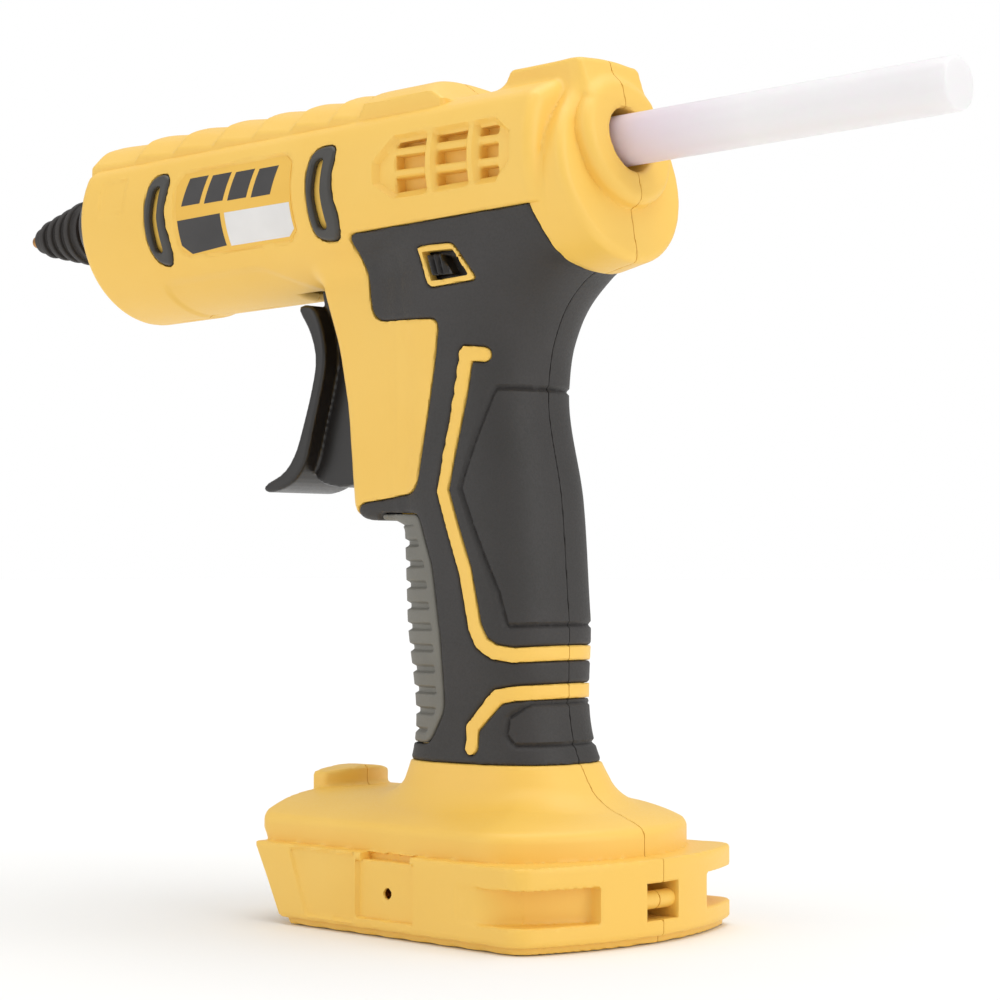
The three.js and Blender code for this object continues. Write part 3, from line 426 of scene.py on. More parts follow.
BUMPERS = {
    "front": rounded([(-93.8, 160), (-92.5, 154.5), (-88, 152.9), (-85.6, 157), (-87, 165),
                      (-85.1, 174), (-88, 175.6), (-92, 174.5), (-93.6, 169)], 3.0),
    "rear": rounded([(-38.4, 160.5), (-38, 155.5), (-31, 154.7), (-29.2, 160), (-30.6, 167),
                     (-29, 175), (-31, 176.7), (-36.8, 175.8), (-38.3, 170)], 3.0),
}
BUMPER_SLOTS = {
    "front": rounded([(-91.7, 156.8), (-89.0, 156.4), (-89.4, 165), (-88.3, 172.5), (-90.9, 172),
                      (-92, 165)], 1.3),
    "rear": rounded([(-36.5, 158), (-33.6, 157.6), (-34, 166), (-32.9, 173.8), (-35.6, 173.2),
                     (-36.8, 166)], 1.3),
}
DECAL = rounded([(-83.2, 156), (-80, 154.7), (-46, 155.7), (-43, 158), (-43, 174), (-45.5, 176.2),
                 (-80.5, 175.2), (-83.2, 172)], 1.5)
MARK = rounded([(-110.5, 166.6), (-101.4, 167.2), (-101.4, 175.6), (-110.5, 175)], 0.6)
BELLY = rounded([(-95.4, 149.6), (-60, 151), (-53, 147.7), (-43, 143), (-43, 120), (-95.4, 120)], 4)
TRIGGER_WELL = [(-60, 96.5), (-36, 96.5), (-15, 100), (-15, 118), (-20, 146), (-38, 162),
                (-57, 162), (-57, 146), (-60, 140)]
WELL_HALF = 6.6


def overmould(x, w, z, side):
    """Region of the soft grip on one side, negative where the grip lies."""
    xf, zf = on_flange(x, z)
    plate = np.maximum(np.hypot(w, zf + FLANGE_DROP) - FLANGE_R - 0.3, -15.3 - xf)
    region = np.maximum(outline(GRIP, x, z), -plate)
    for line in INLAYS:
        region = round_max(region, INLAY_HALF - near_line(line, x, z), 0.3)
    if side < 0:
        region = np.maximum(region, -outline(SWITCH_FRAME, x, z))
    return region


# ------------------------------------------------------------------ the two shell halves
VENT_COLUMNS = ((-11.4, -2.4), (0.8, 9.6), (13.4, 18.8))
VENT_ROWS = ((163.4, 167.0), (168.9, 171.9), (173.8, 176.6))
VENT_BARS = (-0.8, 11.5)
HOOK = (-12.6, 5.6, 3.7, 16.4)
HOOK_HOLE = (-3.3, 9.5)
FOOT_PANEL = [(-35.5, 17.2), (-29.6, 2.8), (-13.8, 2.8), (-13.8, 17.2)]


def relief(d, x, w, z):
    """Shallow recesses of the outer surface: vent, label, mark, belly and foot panel."""
    bar = np.min([np.abs(x - c) for c in VENT_BARS], axis=0)
    depth = 1.5 - 0.9 * np.clip(1.6 - bar / 1.1, 0, 1)
    d = d + depth * ramp(outline(OCTAGON, x, z) + 0.6, 1.4)
    d = d + 0.45 * ramp(outline(DECAL, x, z), 0.7) + 0.3 * ramp(outline(MARK, x, z), 0.6)
    d = d + 0.55 * ramp(outline(BELLY, x, z), 1.6)
    return d + 0.6 * ramp(outline(FOOT_PANEL, x, z), 0.7) * (w > 25)


def vent_cut(d, x, w, z):
    shape = outline(OCTAGON, x, z)
    windows = np.full(d.shape, 1e3, d.dtype)
    for x0, x1 in VENT_COLUMNS:
        for z0, z1 in VENT_ROWS:
            windows = np.minimum(windows, round_max(slab(x, x0, x1), slab(z, z0, z1), 0.4))
    windows = np.maximum(windows, shape + 1.7)
    _, zb = on_barrel(x, z)
    pocket = np.maximum(windows, -(tube(w, zb) + 4.6))
    return round_max(d, -pocket, 0.7)


def barrel_marks(d, x, w, z):
    _, zb = on_barrel(x, z)
    skin_depth = tube(w, zb)
    for shape in BUMPERS.values():
        cut = np.maximum(outline(shape, x, z) - 0.25, -(skin_depth + 1.5))
        d = round_max(d, -cut, 0.4)
    return d


def foot_cuts(d, x, w, z):
    plan = foot_plan(x, w)
    room = round_max(np.maximum(w - 27.5, x - 31.5), (x + w - 47.5) * 0.7071, 1.0)
    room = round_max(room, slab(z, 3.5, 15), 0.4)
    entry = np.maximum(round_max(np.maximum(w - 24, x - 31.5), (x + w - 44) * 0.7071, 1.0), z - 4)
    d = round_max(d, -np.minimum(room, entry), 0.5)
    well = np.maximum.reduce([w - 13.3, slab(x, 11.7, 27.3), slab(z, 14, 26)])
    d = np.maximum(d, -well)
    crown = foot_plan(x, w, FOOT_CROWN)
    d = np.maximum(d, -np.maximum.reduce([crown + 9, -38 - x, slab(z, 18, 25)]))
    corner = round_max(np.maximum(19.2 - x, 18.5 - w), -crown, 0.7)
    d = round_max(d, -round_max(corner, slab(z, 5.6, 13.3), 0.7), 0.6)
    window = round_max(round_max(w - 5.3, 33.5 - x, 0.3), slab(z, 4.9, 12.9), 0.4)
    bar = np.hypot(x - 43.5, z - 9) - 1.8
    d = round_max(d, -np.maximum(window, 0.2 - bar), 0.4)
    d = np.maximum(d, -np.maximum.reduce([w - 3, slab(z, 6, 12), slab(x, 25, 34)]))
    face = plan + 0.9
    seat = round_max(round_max(slab(x, HOOK[0], HOOK[1]), slab(z, HOOK[2], 21), 0.8), -face, 0.2)
    d = round_max(d, -np.maximum(seat, z - HOOK[3]), 0.3)
    slot = np.maximum.reduce([slab(x, HOOK[0] + 1.2, HOOK[1] - 1.2), slab(z, HOOK[3], RIM_TOP - 0.2),
                              -(plan + 3.6)])
    d = round_max(d, -slot, 0.3)
    hole = np.hypot(x - HOOK_HOLE[0], z - HOOK_HOLE[1]) - 1.25
    d = round_max(d, -np.maximum(hole, 20 - w), 0.3)
    lens = np.maximum.reduce([slab(x, -60, -47.6), w - 6.8, slab(z, 27.7, 32.3)])
    return round_max(d, -lens, 0.3)


def housing(side):
    def field(x, w, z):
        outer = body(x, w, z)
        d = relief(outer, x, w, z)
        xb, zb = on_barrel(x, z)
        wall = np.where(xb > -60, VENT_WALL, BARREL_WALL)
        hollow = np.maximum(tube(w, zb) + wall, slab(xb, BARREL_FRONT + 4, BARREL_REAR - 8))
        d = np.maximum(d, -hollow)
        d = round_max(d, -np.maximum(np.hypot(w, zb) - INLET_R, slab(xb, -40, 5)), 1.0)
        collar = np.maximum(np.hypot(w, zb) - 12.3, slab(xb, BARREL_FRONT - 3, BARREL_FRONT + 6))
        d = round_max(d, -collar, 0.6)
        inner = np.maximum(handle_body(x, w, z) + GRIP_DEPTH + 0.3 + HANDLE_WALL, slab(z, 24, 157))
        d = np.maximum(d, -inner)
        well = np.maximum(outline(TRIGGER_WELL, x, z), w - WELL_HALF)
        d = round_max(d, -well, 0.8)

        near = (z > 33) & (z < 163) & (x > -48)
        region = overmould(x[near], w[near], z[near], side)
        seat = np.minimum(-region, outer[near] + GRIP_DEPTH + 0.2)
        d[near] = round_max(d[near], seat, 0.5)
        within(d, x, w, z, (-24, 30, 156, 184), vent_cut)
        within(d, x, w, z, (-116, -22, 116, 182), barrel_marks)
        within(d, x, w, z, (-70, 60, -10, 34), foot_cuts)
        if side < 0:
            def switch_cut(d, x, w, z):
                window = np.maximum(outline(SWITCH_WINDOW, x, z), 8 - w)
                cavity = np.maximum.reduce([slab(x, -11.8, 12.8), slab(w, 8, 15.6),
                                            slab(z, 141.7, 152.8)])
                return round_max(d, -np.minimum(window, cavity), 0.35)
            within(d, x, w, z, (-20, 20, 135, 160), switch_cut)
        return round_max(d, SEAM - w, 0.35)

    return field


def grip(side):
    def field(x, w, z):
        outer = body(x, w, z)
        region = overmould(x, w, z, side)
        for line in PALM_LINES:
            outer = outer + 0.75 * np.clip(1 - near_line(line, x, z) / 0.8, 0, 1)
        d = round_max(outer, region + 0.12, 0.9)
        d = np.maximum(d, -(body(x, w, z) + GRIP_DEPTH))
        d = round_max(d, 0.3 - outline(PAD, x, z), 0.6)
        well = np.maximum(outline(TRIGGER_WELL, x, z) - 0.3, w - WELL_HALF - 0.3)
        return np.maximum(round_max(d, SEAM - w, 0.3), -well)

    return field


RIB_PITCH, GROOVE_DEPTH, GROOVE_HALF = 4.7, 0.95, 0.75


def finger_pad(x, w, z):
    outer = body(x, w, z)
    edge = outline(PAD, x, z)
    from_groove = np.abs((z - 41.1) / RIB_PITCH % 1 - 0.5) * RIB_PITCH
    ribbed = outer + GROOVE_DEPTH * ramp(from_groove - GROOVE_HALF, 0.7) * ramp(edge + 2.4, 1.4)
    d = round_max(ribbed, edge, 0.7)
    d = np.maximum(d, -(outer + GRIP_DEPTH))
    return round_max(d, SEAM - w, 0.3)


# ------------------------------------------------------------------ small moulded pieces
TRIGGER_FACE = [(-55, 142.2), (-50.2, 136), (-48, 129), (-50, 121), (-52.4, 114), (-55, 107),
                (-59, 102.4), (-65.7, 100), (-65.2, 98), (-60, 98.6), (-55, 100.6), (-51.4, 105),
                (-49, 114), (-46.8, 121), (-44.8, 129), (-46, 136), (-49, 142.2)]
TRIGGER_WEB = [(-50.5, 142.2), (-51, 152), (-51, 156.5), (-43, 156.5), (-41, 150), (-34, 143),
               (-31.5, 128), (-32, 110), (-36, 101), (-44, 98.6), (-54, 101), (-51, 108),
               (-48.4, 116), (-46.4, 124), (-46.2, 130), (-47.5, 136)]
TRIGGER_CURVE, WEB_CURVE = rounded(TRIGGER_FACE, 4), rounded(TRIGGER_WEB, 4)
FORK_INNER, FORK_OUTER, FORK_BASE, FORK_FLOOR, FORK_TOP = 9.4, 12.0, 156.3, 160.4, 176.0
PIVOT = (-47.0, 151.0)
TRUNNION_SLOT = 1.9


def trigger(x, w, z):
    w = np.abs(w)
    face = round_max(outline(TRIGGER_CURVE, x, z), w - 10.7, 0.9)
    web = round_max(outline(WEB_CURVE, x, z), w - 6, 0.8)
    d = round_min(face, web, 0.8)
    yoke = np.maximum(slab(x, -51, -43), slab(z, FORK_BASE, FORK_FLOOR))
    d = np.minimum(d, round_max(yoke, w - FORK_OUTER, 0.5))
    arms = np.maximum.reduce([slab(x, -51, -43), slab(w, FORK_INNER, FORK_OUTER),
                              slab(z, FORK_FLOOR - 0.5, FORK_TOP)])
    d = np.minimum(d, arms)
    d = np.maximum(d, 1.8 - np.hypot(x - PIVOT[0], z - PIVOT[1]))
    slot = np.maximum(np.abs(x - TRUNNION_X) - TRUNNION_SLOT, TRUNNION_Z - 4 - z)
    return np.maximum(d, -np.maximum(slot, 8 - w))


_middle = (PIVOT[0] - BORE_X) * math.cos(BARREL_TILT) + (PIVOT[1] - BORE_Z) * math.sin(BARREL_TILT)
TRUNNION_X = BORE_X + _middle * math.cos(BARREL_TILT)
TRUNNION_Z = BORE_Z + _middle * math.sin(BARREL_TILT)


def bumper(place):
    def field(x, w, z):
        _, zb = on_barrel(x, z)
        skin_depth = tube(w, zb)
        d = round_max(outline(BUMPERS[place], x, z), skin_depth - 0.4, 0.9)
        d = round_max(d, -outline(BUMPER_SLOTS[place], x, z), 0.9)
        return np.maximum(d, -(skin_depth + 1.25))

    return field


SLIDER = rounded([(-4.4, 145.1), (-6.0, 149.7), (-1.4, 149.7), (1.8, 145.1)], 0.5)


def slider(x, w, z):
    slant = (x + (z - 147.4) * 0.32 + 2.2) / 1.75
    rib = np.abs(slant - np.round(np.clip(slant, -1, 1)))
    face = w - 17.9 - 0.9 * np.clip(1 - rib * 2.6, 0, 1)
    button = np.maximum(round_max(outline(SLIDER, x, z), face, 0.3), 14 - w)
    base = np.maximum.reduce([slab(x, -8.2, 6.2), slab(w, *SLIDER_BASE), slab(z, 142.6, 151.9)])
    return np.minimum(button, base)


SLIDER_BASE = (abs(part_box("power_slider")[1].y) / MM, 15.0)  # inner and outer face of its base

# ------------------------------------------------------------------ meshes
def mesh_object(name, spots, faces, side=1):
    """A mesh object from tool-frame millimetres, mirrored to the left for side -1."""
    row = np.stack([(spots[:, 0] + SHIFT) * MM, spots[:, 1] * side * MM, spots[:, 2] * MM], 1)
    if side < 0:
        faces = faces[:, ::-1]
    mesh = bpy.data.meshes.new(name)
    mesh.from_pydata(row.tolist(), [], faces.tolist())
    mesh.update()
    made = bpy.data.objects.new(name, mesh)
    bpy.context.scene.collection.objects.link(made)
    return made


def shade(obj, degrees=35):
    mesh = obj.data
    mesh.polygons.foreach_set("use_smooth", np.ones(len(mesh.polygons), bool))
    mesh.set_sharp_from_angle(angle=math.radians(degrees))
    return obj


def finish_piece(obj, material, body_name, slot, *nodes):
    obj.data.materials.clear()
    obj.data.materials.append(material)
    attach(obj, body_name)
    if nodes:
        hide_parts(*nodes)
    return obj


def turned_piece(name, profile, segments=96, tilt=BARREL_TILT):
    """A closed body turned about the stick's axis from (x, radius) points."""
    turn = np.arange(segments) * 2 * math.pi / segments
    rings = np.array(profile, float)
    x = np.repeat(rings[:, 0], segments)
    y = np.outer(rings[:, 1], np.cos(turn)).ravel()
    z = np.outer(rings[:, 1], np.sin(turn)).ravel()
    c, s = math.cos(tilt), math.sin(tilt)
    spots = np.stack([BORE_X + x * c - z * s, y, BORE_Z + x * s + z * c], 1)
    count = len(rings)
    i, j = np.meshgrid(np.arange(count), np.arange(segments), indexing="ij")
    after, beside = (i + 1) % count, (j + 1) % segments
    quads = np.stack([i * segments + j, i * segments + beside,
                      after * segments + beside, after * segments + j], -1).reshape(-1, 4)
    obj = mesh_object(name, spots, quads)
    work = bmesh.new()
    work.from_mesh(obj.data)
    bmesh.ops.remove_doubles(work, verts=work.verts, dist=1e-6)
    bmesh.ops.recalc_face_normals(work, faces=work.faces)
    work.to_mesh(obj.data)
    work.free()
    return shade(obj, 40)


def eased_corners(points, radius, steps=4):
    """Profile points with every corner rounded."""
    return rounded([tuple(p) for p in points], radius, steps)


# ------------------------------------------------------------------ finishes
def linear(hex_colour):
    """sRGB hex to linear RGBA."""
    parts = [int(hex_colour[i : i + 2], 16) / 255 for i in (1, 3, 5)]
    return tuple(p / 12.92 if p <= 0.04045 else ((p + 0.055) / 1.055) ** 2.4 for p in parts) + (1.0,)


def add(tree, kind, inputs=None, **settings):
    """Adds a node with its settings; an input is a value or another node's output."""
    made = tree.nodes.new(kind)
    for key, value in settings.items():
        setattr(made, key, value)
    for key, value in (inputs or {}).items():
        if isinstance(value, bpy.types.NodeSocket):
            tree.links.new(value, made.inputs[key])
        else:
            made.inputs[key].default_value = value
    return made


def finish(name, colours, rough, grain_mm, relief_mm, cloud_mm=30, wear=None, **shader):
    """A surface with a fine grain in relief, a slow drift of colour and uneven gloss.

    colours: two sRGB hex values; rough: lowest and highest roughness; grain_mm: size of one grain;
    relief_mm: its height; wear: an optional colour that shows a little along raised edges.
    """
    material = bpy.data.materials.new(name)
    material.use_nodes = True
    tree = material.node_tree
    tree.nodes.clear()
    place = add(tree, "ShaderNodeTexCoord").outputs["Object"]
    cloud = add(tree, "ShaderNodeTexNoise", {"Vector": place, "Scale": 1 / (cloud_mm * MM),
                                             "Detail": 3.0, "Roughness": 0.55}).outputs["Fac"]
    grain = add(tree, "ShaderNodeTexNoise", {"Vector": place, "Scale": 1 / (grain_mm * MM),
                                             "Detail": 2.0, "Roughness": 0.6}).outputs["Fac"]
    spread = add(tree, "ShaderNodeMapRange", {"Value": cloud, "From Min": 0.3, "From Max": 0.7})
    colour = add(tree, "ShaderNodeMix", {"Factor": spread.outputs[0]}, data_type="RGBA")
    for socket, value in zip([s for s in colour.inputs if s.type == "RGBA"], colours):
        socket.default_value = linear(value)
    shown = [s for s in colour.outputs if s.type == "RGBA"][0]
    if wear:
        edge = add(tree, "ShaderNodeNewGeometry").outputs["Pointiness"]
        worn = add(tree, "ShaderNodeMapRange", {"Value": edge, "From Min": 0.53, "From Max": 0.62,
                                                "To Max": 0.55})
        mixed = add(tree, "ShaderNodeMix", {"Factor": worn.outputs[0]}, data_type="RGBA")
        sockets = [s for s in mixed.inputs if s.type == "RGBA"]
        tree.links.new(shown, sockets[0])
        sockets[1].default_value = linear(wear)
        shown = [s for s in mixed.outputs if s.type == "RGBA"][0]
    gloss = add(tree, "ShaderNodeMapRange", {"Value": grain, "From Min": 0.3, "From Max": 0.7,
                                             "To Min": rough[0], "To Max": rough[1]})
    bump = add(tree, "ShaderNodeBump", {"Height": grain, "Strength": 0.6,
                                        "Distance": relief_mm * MM})
    surface = add(tree, "ShaderNodeBsdfPrincipled", {"Base Color": shown,
                                                     "Roughness": gloss.outputs[0],
                                                     "Normal": bump.outputs[0]})
    for key, value in shader.items():
        surface.inputs[key.replace("_", " ")].default_value = value
    add(tree, "ShaderNodeOutputMaterial", {"Surface": surface.outputs[0]})
    return material


# Glass-filled nylon, moulded in a spark-eroded tool: an even satin with a fine dry grain.
NYLON = finish("yellow_moulded_nylon", ("#F6CA62", "#F2C356"), (0.40, 0.52), 0.55, 0.02, 45,
               IOR=1.53)
# Thermoplastic elastomer over the handle: matte, slightly warm black, dust-grey bloom.
ELASTOMER = finish("soft_grip_elastomer", ("#2C2A28", "#343130"), (0.50, 0.64), 0.5, 0.03, 25,
                   IOR=1.5)
# The same elastomer as the grip in a ribbed insert where the fingers close, painted a lighter grey to
# stand in for the light that falls on it from the left.
FINGER_PAD_PAINTED_LIGHT = finish("finger_pad_painted_light", ("#6B6962", "#77756D"), (0.52, 0.66), 0.5, 0.03,
                          20, IOR=1.5)
# Smooth moulded ABS of trigger and switch: darker and shinier than the grip.
ABS = finish("black_moulded_abs", ("#161312", "#1D1A18"), (0.30, 0.40), 0.5, 0.012, 25, IOR=1.54)
# Moulded rubber inserts with a rolled edge that catches light.
RUBBER = finish("bumper_rubber", ("#34322F", "#403E3A"), (0.36, 0.48), 0.5, 0.02, 20, IOR=1.52)
# Phenolic collar at the hot end: hard, dark, faintly glossy.
PHENOLIC = finish("collar_phenolic", ("#1C1A19", "#262423"), (0.26, 0.38), 0.6, 0.015, 20, IOR=1.6)
# Silicone sleeve over the nozzle: dull black with a dusty bloom.
SILICONE = finish("nozzle_sleeve_silicone", ("#2A2725", "#35312F"), (0.5, 0.62), 0.6, 0.02, 15,
                  IOR=1.42)
# Turned brass, slightly tarnished by heat.
BRASS = finish("turned_brass", ("#C8954A", "#A87432"), (0.24, 0.42), 0.35, 0.01, 6, Metallic=1.0)
# Cast and machined aluminium of the heating parts.
ALUMINIUM = finish("machined_aluminium", ("#C5C6C8", "#B4B5B7"), (0.3, 0.44), 0.4, 0.01, 15,
                   Metallic=1.0)
# Zinc-plated steel of screws, pin and claw.
STEEL = finish("zinc_plated_steel", ("#A9AAAC", "#96979A"), (0.26, 0.4), 0.3, 0.01, 8,
               Metallic=1.0)
# Glass-epoxy circuit board under green solder mask.
BOARD = finish("solder_mask_board", ("#1F5A3A", "#1A4D31"), (0.3, 0.42), 0.5, 0.01, 10, IOR=1.5)
# Off-white nylon of the feed parts and the terminal block.
WHITE_NYLON = finish("natural_nylon", ("#E8E3DA", "#DDD7CC"), (0.42, 0.55), 0.5, 0.015, 20,
                     IOR=1.53)
# Ceramic heater: chalky, faint speckle.
CERAMIC = finish("fired_ceramic", ("#E9E6E1", "#D9D4CC"), (0.55, 0.7), 0.6, 0.03, 8, IOR=1.6)
# Printed film of the side label: satin yellow, dark grey and light grey inks.
FILM = finish("label_film_yellow", ("#F0C050", "#ECBA48"), (0.34, 0.42), 0.6, 0.006, 30, IOR=1.49)
DARK_INK = finish("label_ink_dark", ("#2F2D2D", "#383636"), (0.34, 0.42), 0.5, 0.006, 12, IOR=1.49)
GREY_INK = finish("label_ink_light", ("#DEDCDA", "#E6E4E2"), (0.34, 0.42), 0.5, 0.006, 12,
                  IOR=1.49)
# Clear acrylic light window with a frosted back.
LENS = finish("frosted_acrylic", ("#F4F6F6", "#E8ECEC"), (0.12, 0.22), 0.6, 0.01, 10, IOR=1.49)


def glue_finish():
    """EVA hot-melt glue: milky and translucent, with a faint cool violet cast towards the gun."""
    material = bpy.data.materials.new("hot_melt_glue")
    material.use_nodes = True
    tree = material.node_tree
    tree.nodes.clear()
    place = add(tree, "ShaderNodeTexCoord").outputs["Object"]
    along = add(tree, "ShaderNodeSeparateXYZ", {"Vector": place}).outputs["X"]
    fade = add(tree, "ShaderNodeMapRange", {"Value": along, "From Min": (BORE_X + SHIFT) * MM,
                                            "From Max": (BORE_X + SHIFT + 34) * MM})
    streak = add(tree, "ShaderNodeTexNoise", {"Vector": place, "Scale": 1 / (14 * MM),
                                              "Detail": 3.0}).outputs["Fac"]
    colour = add(tree, "ShaderNodeMix", {"Factor": fade.outputs[0]}, data_type="RGBA")
    ends = [s for s in colour.inputs if s.type == "RGBA"]
    ends[0].default_value, ends[1].default_value = linear("#E3D5E2"), linear("#F5F3F4")
    gloss = add(tree, "ShaderNodeMapRange", {"Value": streak, "From Min": 0.3, "From Max": 0.7,
                                             "To Min": 0.3, "To Max": 0.42})
    bump = add(tree, "ShaderNodeBump", {"Height": streak, "Strength": 0.25, "Distance": 0.05 * MM})
    surface = add(tree, "ShaderNodeBsdfPrincipled", {
        "Base Color": [s for s in colour.outputs if s.type == "RGBA"][0],
        "Roughness": gloss.outputs[0], "Normal": bump.outputs[0], "IOR": 1.48,
        "Subsurface Weight": 0.7, "Subsurface Radius": (1.0, 0.85, 0.95),
        "Subsurface Scale": 4 * MM, "Transmission Weight": 0.12})
    add(tree, "ShaderNodeOutputMaterial", {"Surface": surface.outputs[0]})
    return material


GLUE = glue_finish()

# ------------------------------------------------------------------ moulded pieces
SHELL_LOW, SHELL_HIGH = (-121.5, -1.6, -1.6), (49, 40, 194)
GRIP_LOW, GRIP_HIGH = (-44, -1.2, 34.5), (42, 23, 162)
PITCH = 0.7
FINE = 0.52

jobs = {
    "shell_left": (housing(-1), SHELL_LOW, SHELL_HIGH, PITCH),
    "shell_right": (housing(1), SHELL_LOW, SHELL_HIGH, PITCH),
    "overmould_left": (grip(-1), GRIP_LOW, GRIP_HIGH, FINE),
    "overmould_right": (grip(1), GRIP_LOW, GRIP_HIGH, FINE),
    "finger_ribs": (finger_pad, (-30, -1.2, 39.5), (0, 20, 94), 0.4),
    "trigger_lever": (trigger, (-67, -13, 96), (-30, 13, 177.5), 0.5),
    "bumper_front": (bumper("front"), (-98, 12, 150), (-83, 26, 178), 0.35),
    "bumper_rear": (bumper("rear"), (-43, 12, 152), (-27, 26, 179), 0.35),
    "switch_button": (slider, (-9.5, 12.5, 141), (8, 20.5, 153.5), 0.3),
}
skins = {name: skin(*job) for name, job in jobs.items()}

SIDES = {"left": -1, "right": 1}
for side_name, side in SIDES.items():
    shell_skin = shade(mesh_object(f"shell_skin_{side_name}", *skins[f"shell_{side_name}"], side))
    finish_piece(shell_skin, NYLON, "shell", "yellow_housing", f"housing_{side_name}")
    soft = shade(mesh_object(f"overmould_{side_name}", *skins[f"overmould_{side_name}"], side))
    finish_piece(soft, ELASTOMER, "shell", "soft_grip", f"grip_{side_name}")
    # The finger ribs carry the lighter grey that paints the light falling on them from the left.
    ribs = shade(mesh_object(f"finger_ribs_{side_name}", *skins["finger_ribs"], side), 50)
    finish_piece(ribs, FINGER_PAD_PAINTED_LIGHT, "shell", "finger_pad", f"finger_pad_{side_name}")
    for place in BUMPERS:
        pad = shade(mesh_object(f"side_bumper_{place}_{side_name}", *skins[f"bumper_{place}"], side))
        finish_piece(pad, RUBBER, "shell", "bumper_rubber", f"bumper_{place}_{side_name}")

lever = shade(mesh_object("trigger_lever", *skins["trigger_lever"]))
finish_piece(lever, ABS, "trigger_body", "black_plastic", "trigger")
button = shade(mesh_object("switch_button", *skins["switch_button"], -1), 40)
finish_piece(button, ABS, "slider_body", "black_plastic", "power_slider")

# ------------------------------------------------------------------ turned pieces
stick_front, stick_end = STICK_OUT - STICK_LENGTH, STICK_OUT
stick = turned_piece("stick_of_glue", eased_corners(
    [(stick_front, 0), (stick_front, STICK_R), (stick_end, STICK_R), (stick_end, 0)], 0.9)[4:-4]
    + [(stick_end, 0.0), (stick_front, 0.0)], 72)
finish_piece(stick, GLUE, "stick_body", "glue", "glue_stick")

COLLAR_R, COLLAR_BORE = 12.0, 8.6
collar = turned_piece("hot_end_collar", eased_corners(
    [(-172.3, COLLAR_BORE), (-172.3, 10.4), (-170.4, 11.4), (-166.6, 11.4), (-166.0, COLLAR_R),
     (-152.7, COLLAR_R), (-152.7, 13.9), (-150.5, 13.9), (-150.5, COLLAR_BORE)], 0.35))
finish_piece(collar, PHENOLIC, "shell", "black_plastic", "front_collar")

tip = turned_piece("brass_tip", eased_corners(
    [(-201.7, 0.8), (-201.7, 1.5), (-198.7, 2.1), (-190, 3.4), (-176, 5.2), (-174.8, 6.5),
     (-169.1, 6.5), (-169.1, 4), (-157.1, 4), (-157.1, 0.8)], 0.3))
finish_piece(tip, BRASS, "shell", "brass", "nozzle")


def sleeve_profile():
    """A cone with four cooling fins, each with a rounded crest."""
    points = [(-198.5, 2.5), (-198.5, 3.4)]
    for i in range(4):
        x, r = -195 + i * 4.6, 3.7 + i * 1.1
        points += [(x, r), (x + 0.15, r + 1.25), (x + 1.9, r + 1.4), (x + 2.1, r + 0.45)]
    return points + [(-176.4, 7.9), (-176.4, 5.9), (-190, 3.9)]


sleeve = turned_piece("finned_sleeve", eased_corners(sleeve_profile(), 0.4, 3))
finish_piece(sleeve, SILICONE, "shell", "silicone", "nozzle_boot")

# ------------------------------------------------------------------ label print
def barrel_side(x, z):
    """Distance of the barrel's side from the middle plane."""
    _, zb = on_barrel(x, z)
    return math.sqrt(BARREL_R**2 - (zb + BARREL_DROP) ** 2)


def print_patch(name, outlines, side, lift):
    """Flat ink shapes laid on the barrel's side, lift mm above the recess floor."""
    work = bmesh.new()
    for points in outlines:
        work.faces.new([work.verts.new((x, 0, z)) for x, z in points])
    z_values = [z for points in outlines for _, z in points]
    height = min(z_values) + 0.5
    while height < max(z_values):
        bmesh.ops.bisect_plane(work, geom=work.verts[:] + work.edges[:] + work.faces[:],
                               plane_co=(0, 0, height), plane_no=(0, 0, 1))
        height += 0.9
    for vertex in work.verts:
        x, _, z = vertex.co
        vertex.co = ((x + SHIFT) * MM, side * (barrel_side(x, z) - 0.45 + lift) * MM, z * MM)
    made = bmesh.ops.extrude_face_region(work, geom=work.faces[:])
    for vertex in [v for v in made["geom"] if isinstance(v, bmesh.types.BMVert)]:
        vertex.co.y -= side * 0.16 * MM
    bmesh.ops.recalc_face_normals(work, faces=work.faces)
    mesh = bpy.data.meshes.new(name)
    work.to_mesh(mesh)
    work.free()
    obj = bpy.data.objects.new(name, mesh)
    bpy.context.scene.collection.objects.link(obj)
    return obj


BACKING = [[(-82.6, 156.4), (-79.8, 155.2), (-46.2, 156.2), (-43.6, 158.2), (-43.6, 173.8),
            (-45.8, 175.6), (-80.3, 174.6), (-82.6, 171.8)]]
DARK_SHAPES = [[(-82.3, 163.4), (-67.4, 164.0), (-67.4, 156.6), (-79.6, 155.5), (-82.3, 157.6)]]
for _left, _right in ((-80.6, -74.2), (-72.6, -66.2), (-64.6, -58.2), (-56.6, -50.2)):
    DARK_SHAPES.append([(_left + 2.4, 173.3), (_right + 2.4, 173.5), (_right, 166.9), (_left, 166.7)])
GREY_SHAPES = [[(-65.9, 164.0), (-44.2, 164.6), (-44.2, 158.6), (-46.4, 157.0), (-65.9, 156.4)]]
for side_name, side in SIDES.items():
    backing = print_patch(f"label_film_{side_name}", BACKING, side, 0.1)
    finish_piece(shade(backing), FILM, "shell", "label_film", f"decal_{side_name}")
    dark = print_patch(f"label_dark_print_{side_name}", DARK_SHAPES, side, 0.14)
    finish_piece(shade(dark), DARK_INK, "shell", "label_film")
    grey = print_patch(f"label_grey_print_{side_name}", GREY_SHAPES, side, 0.14)
    finish_piece(shade(grey), GREY_INK, "shell", "label_film")

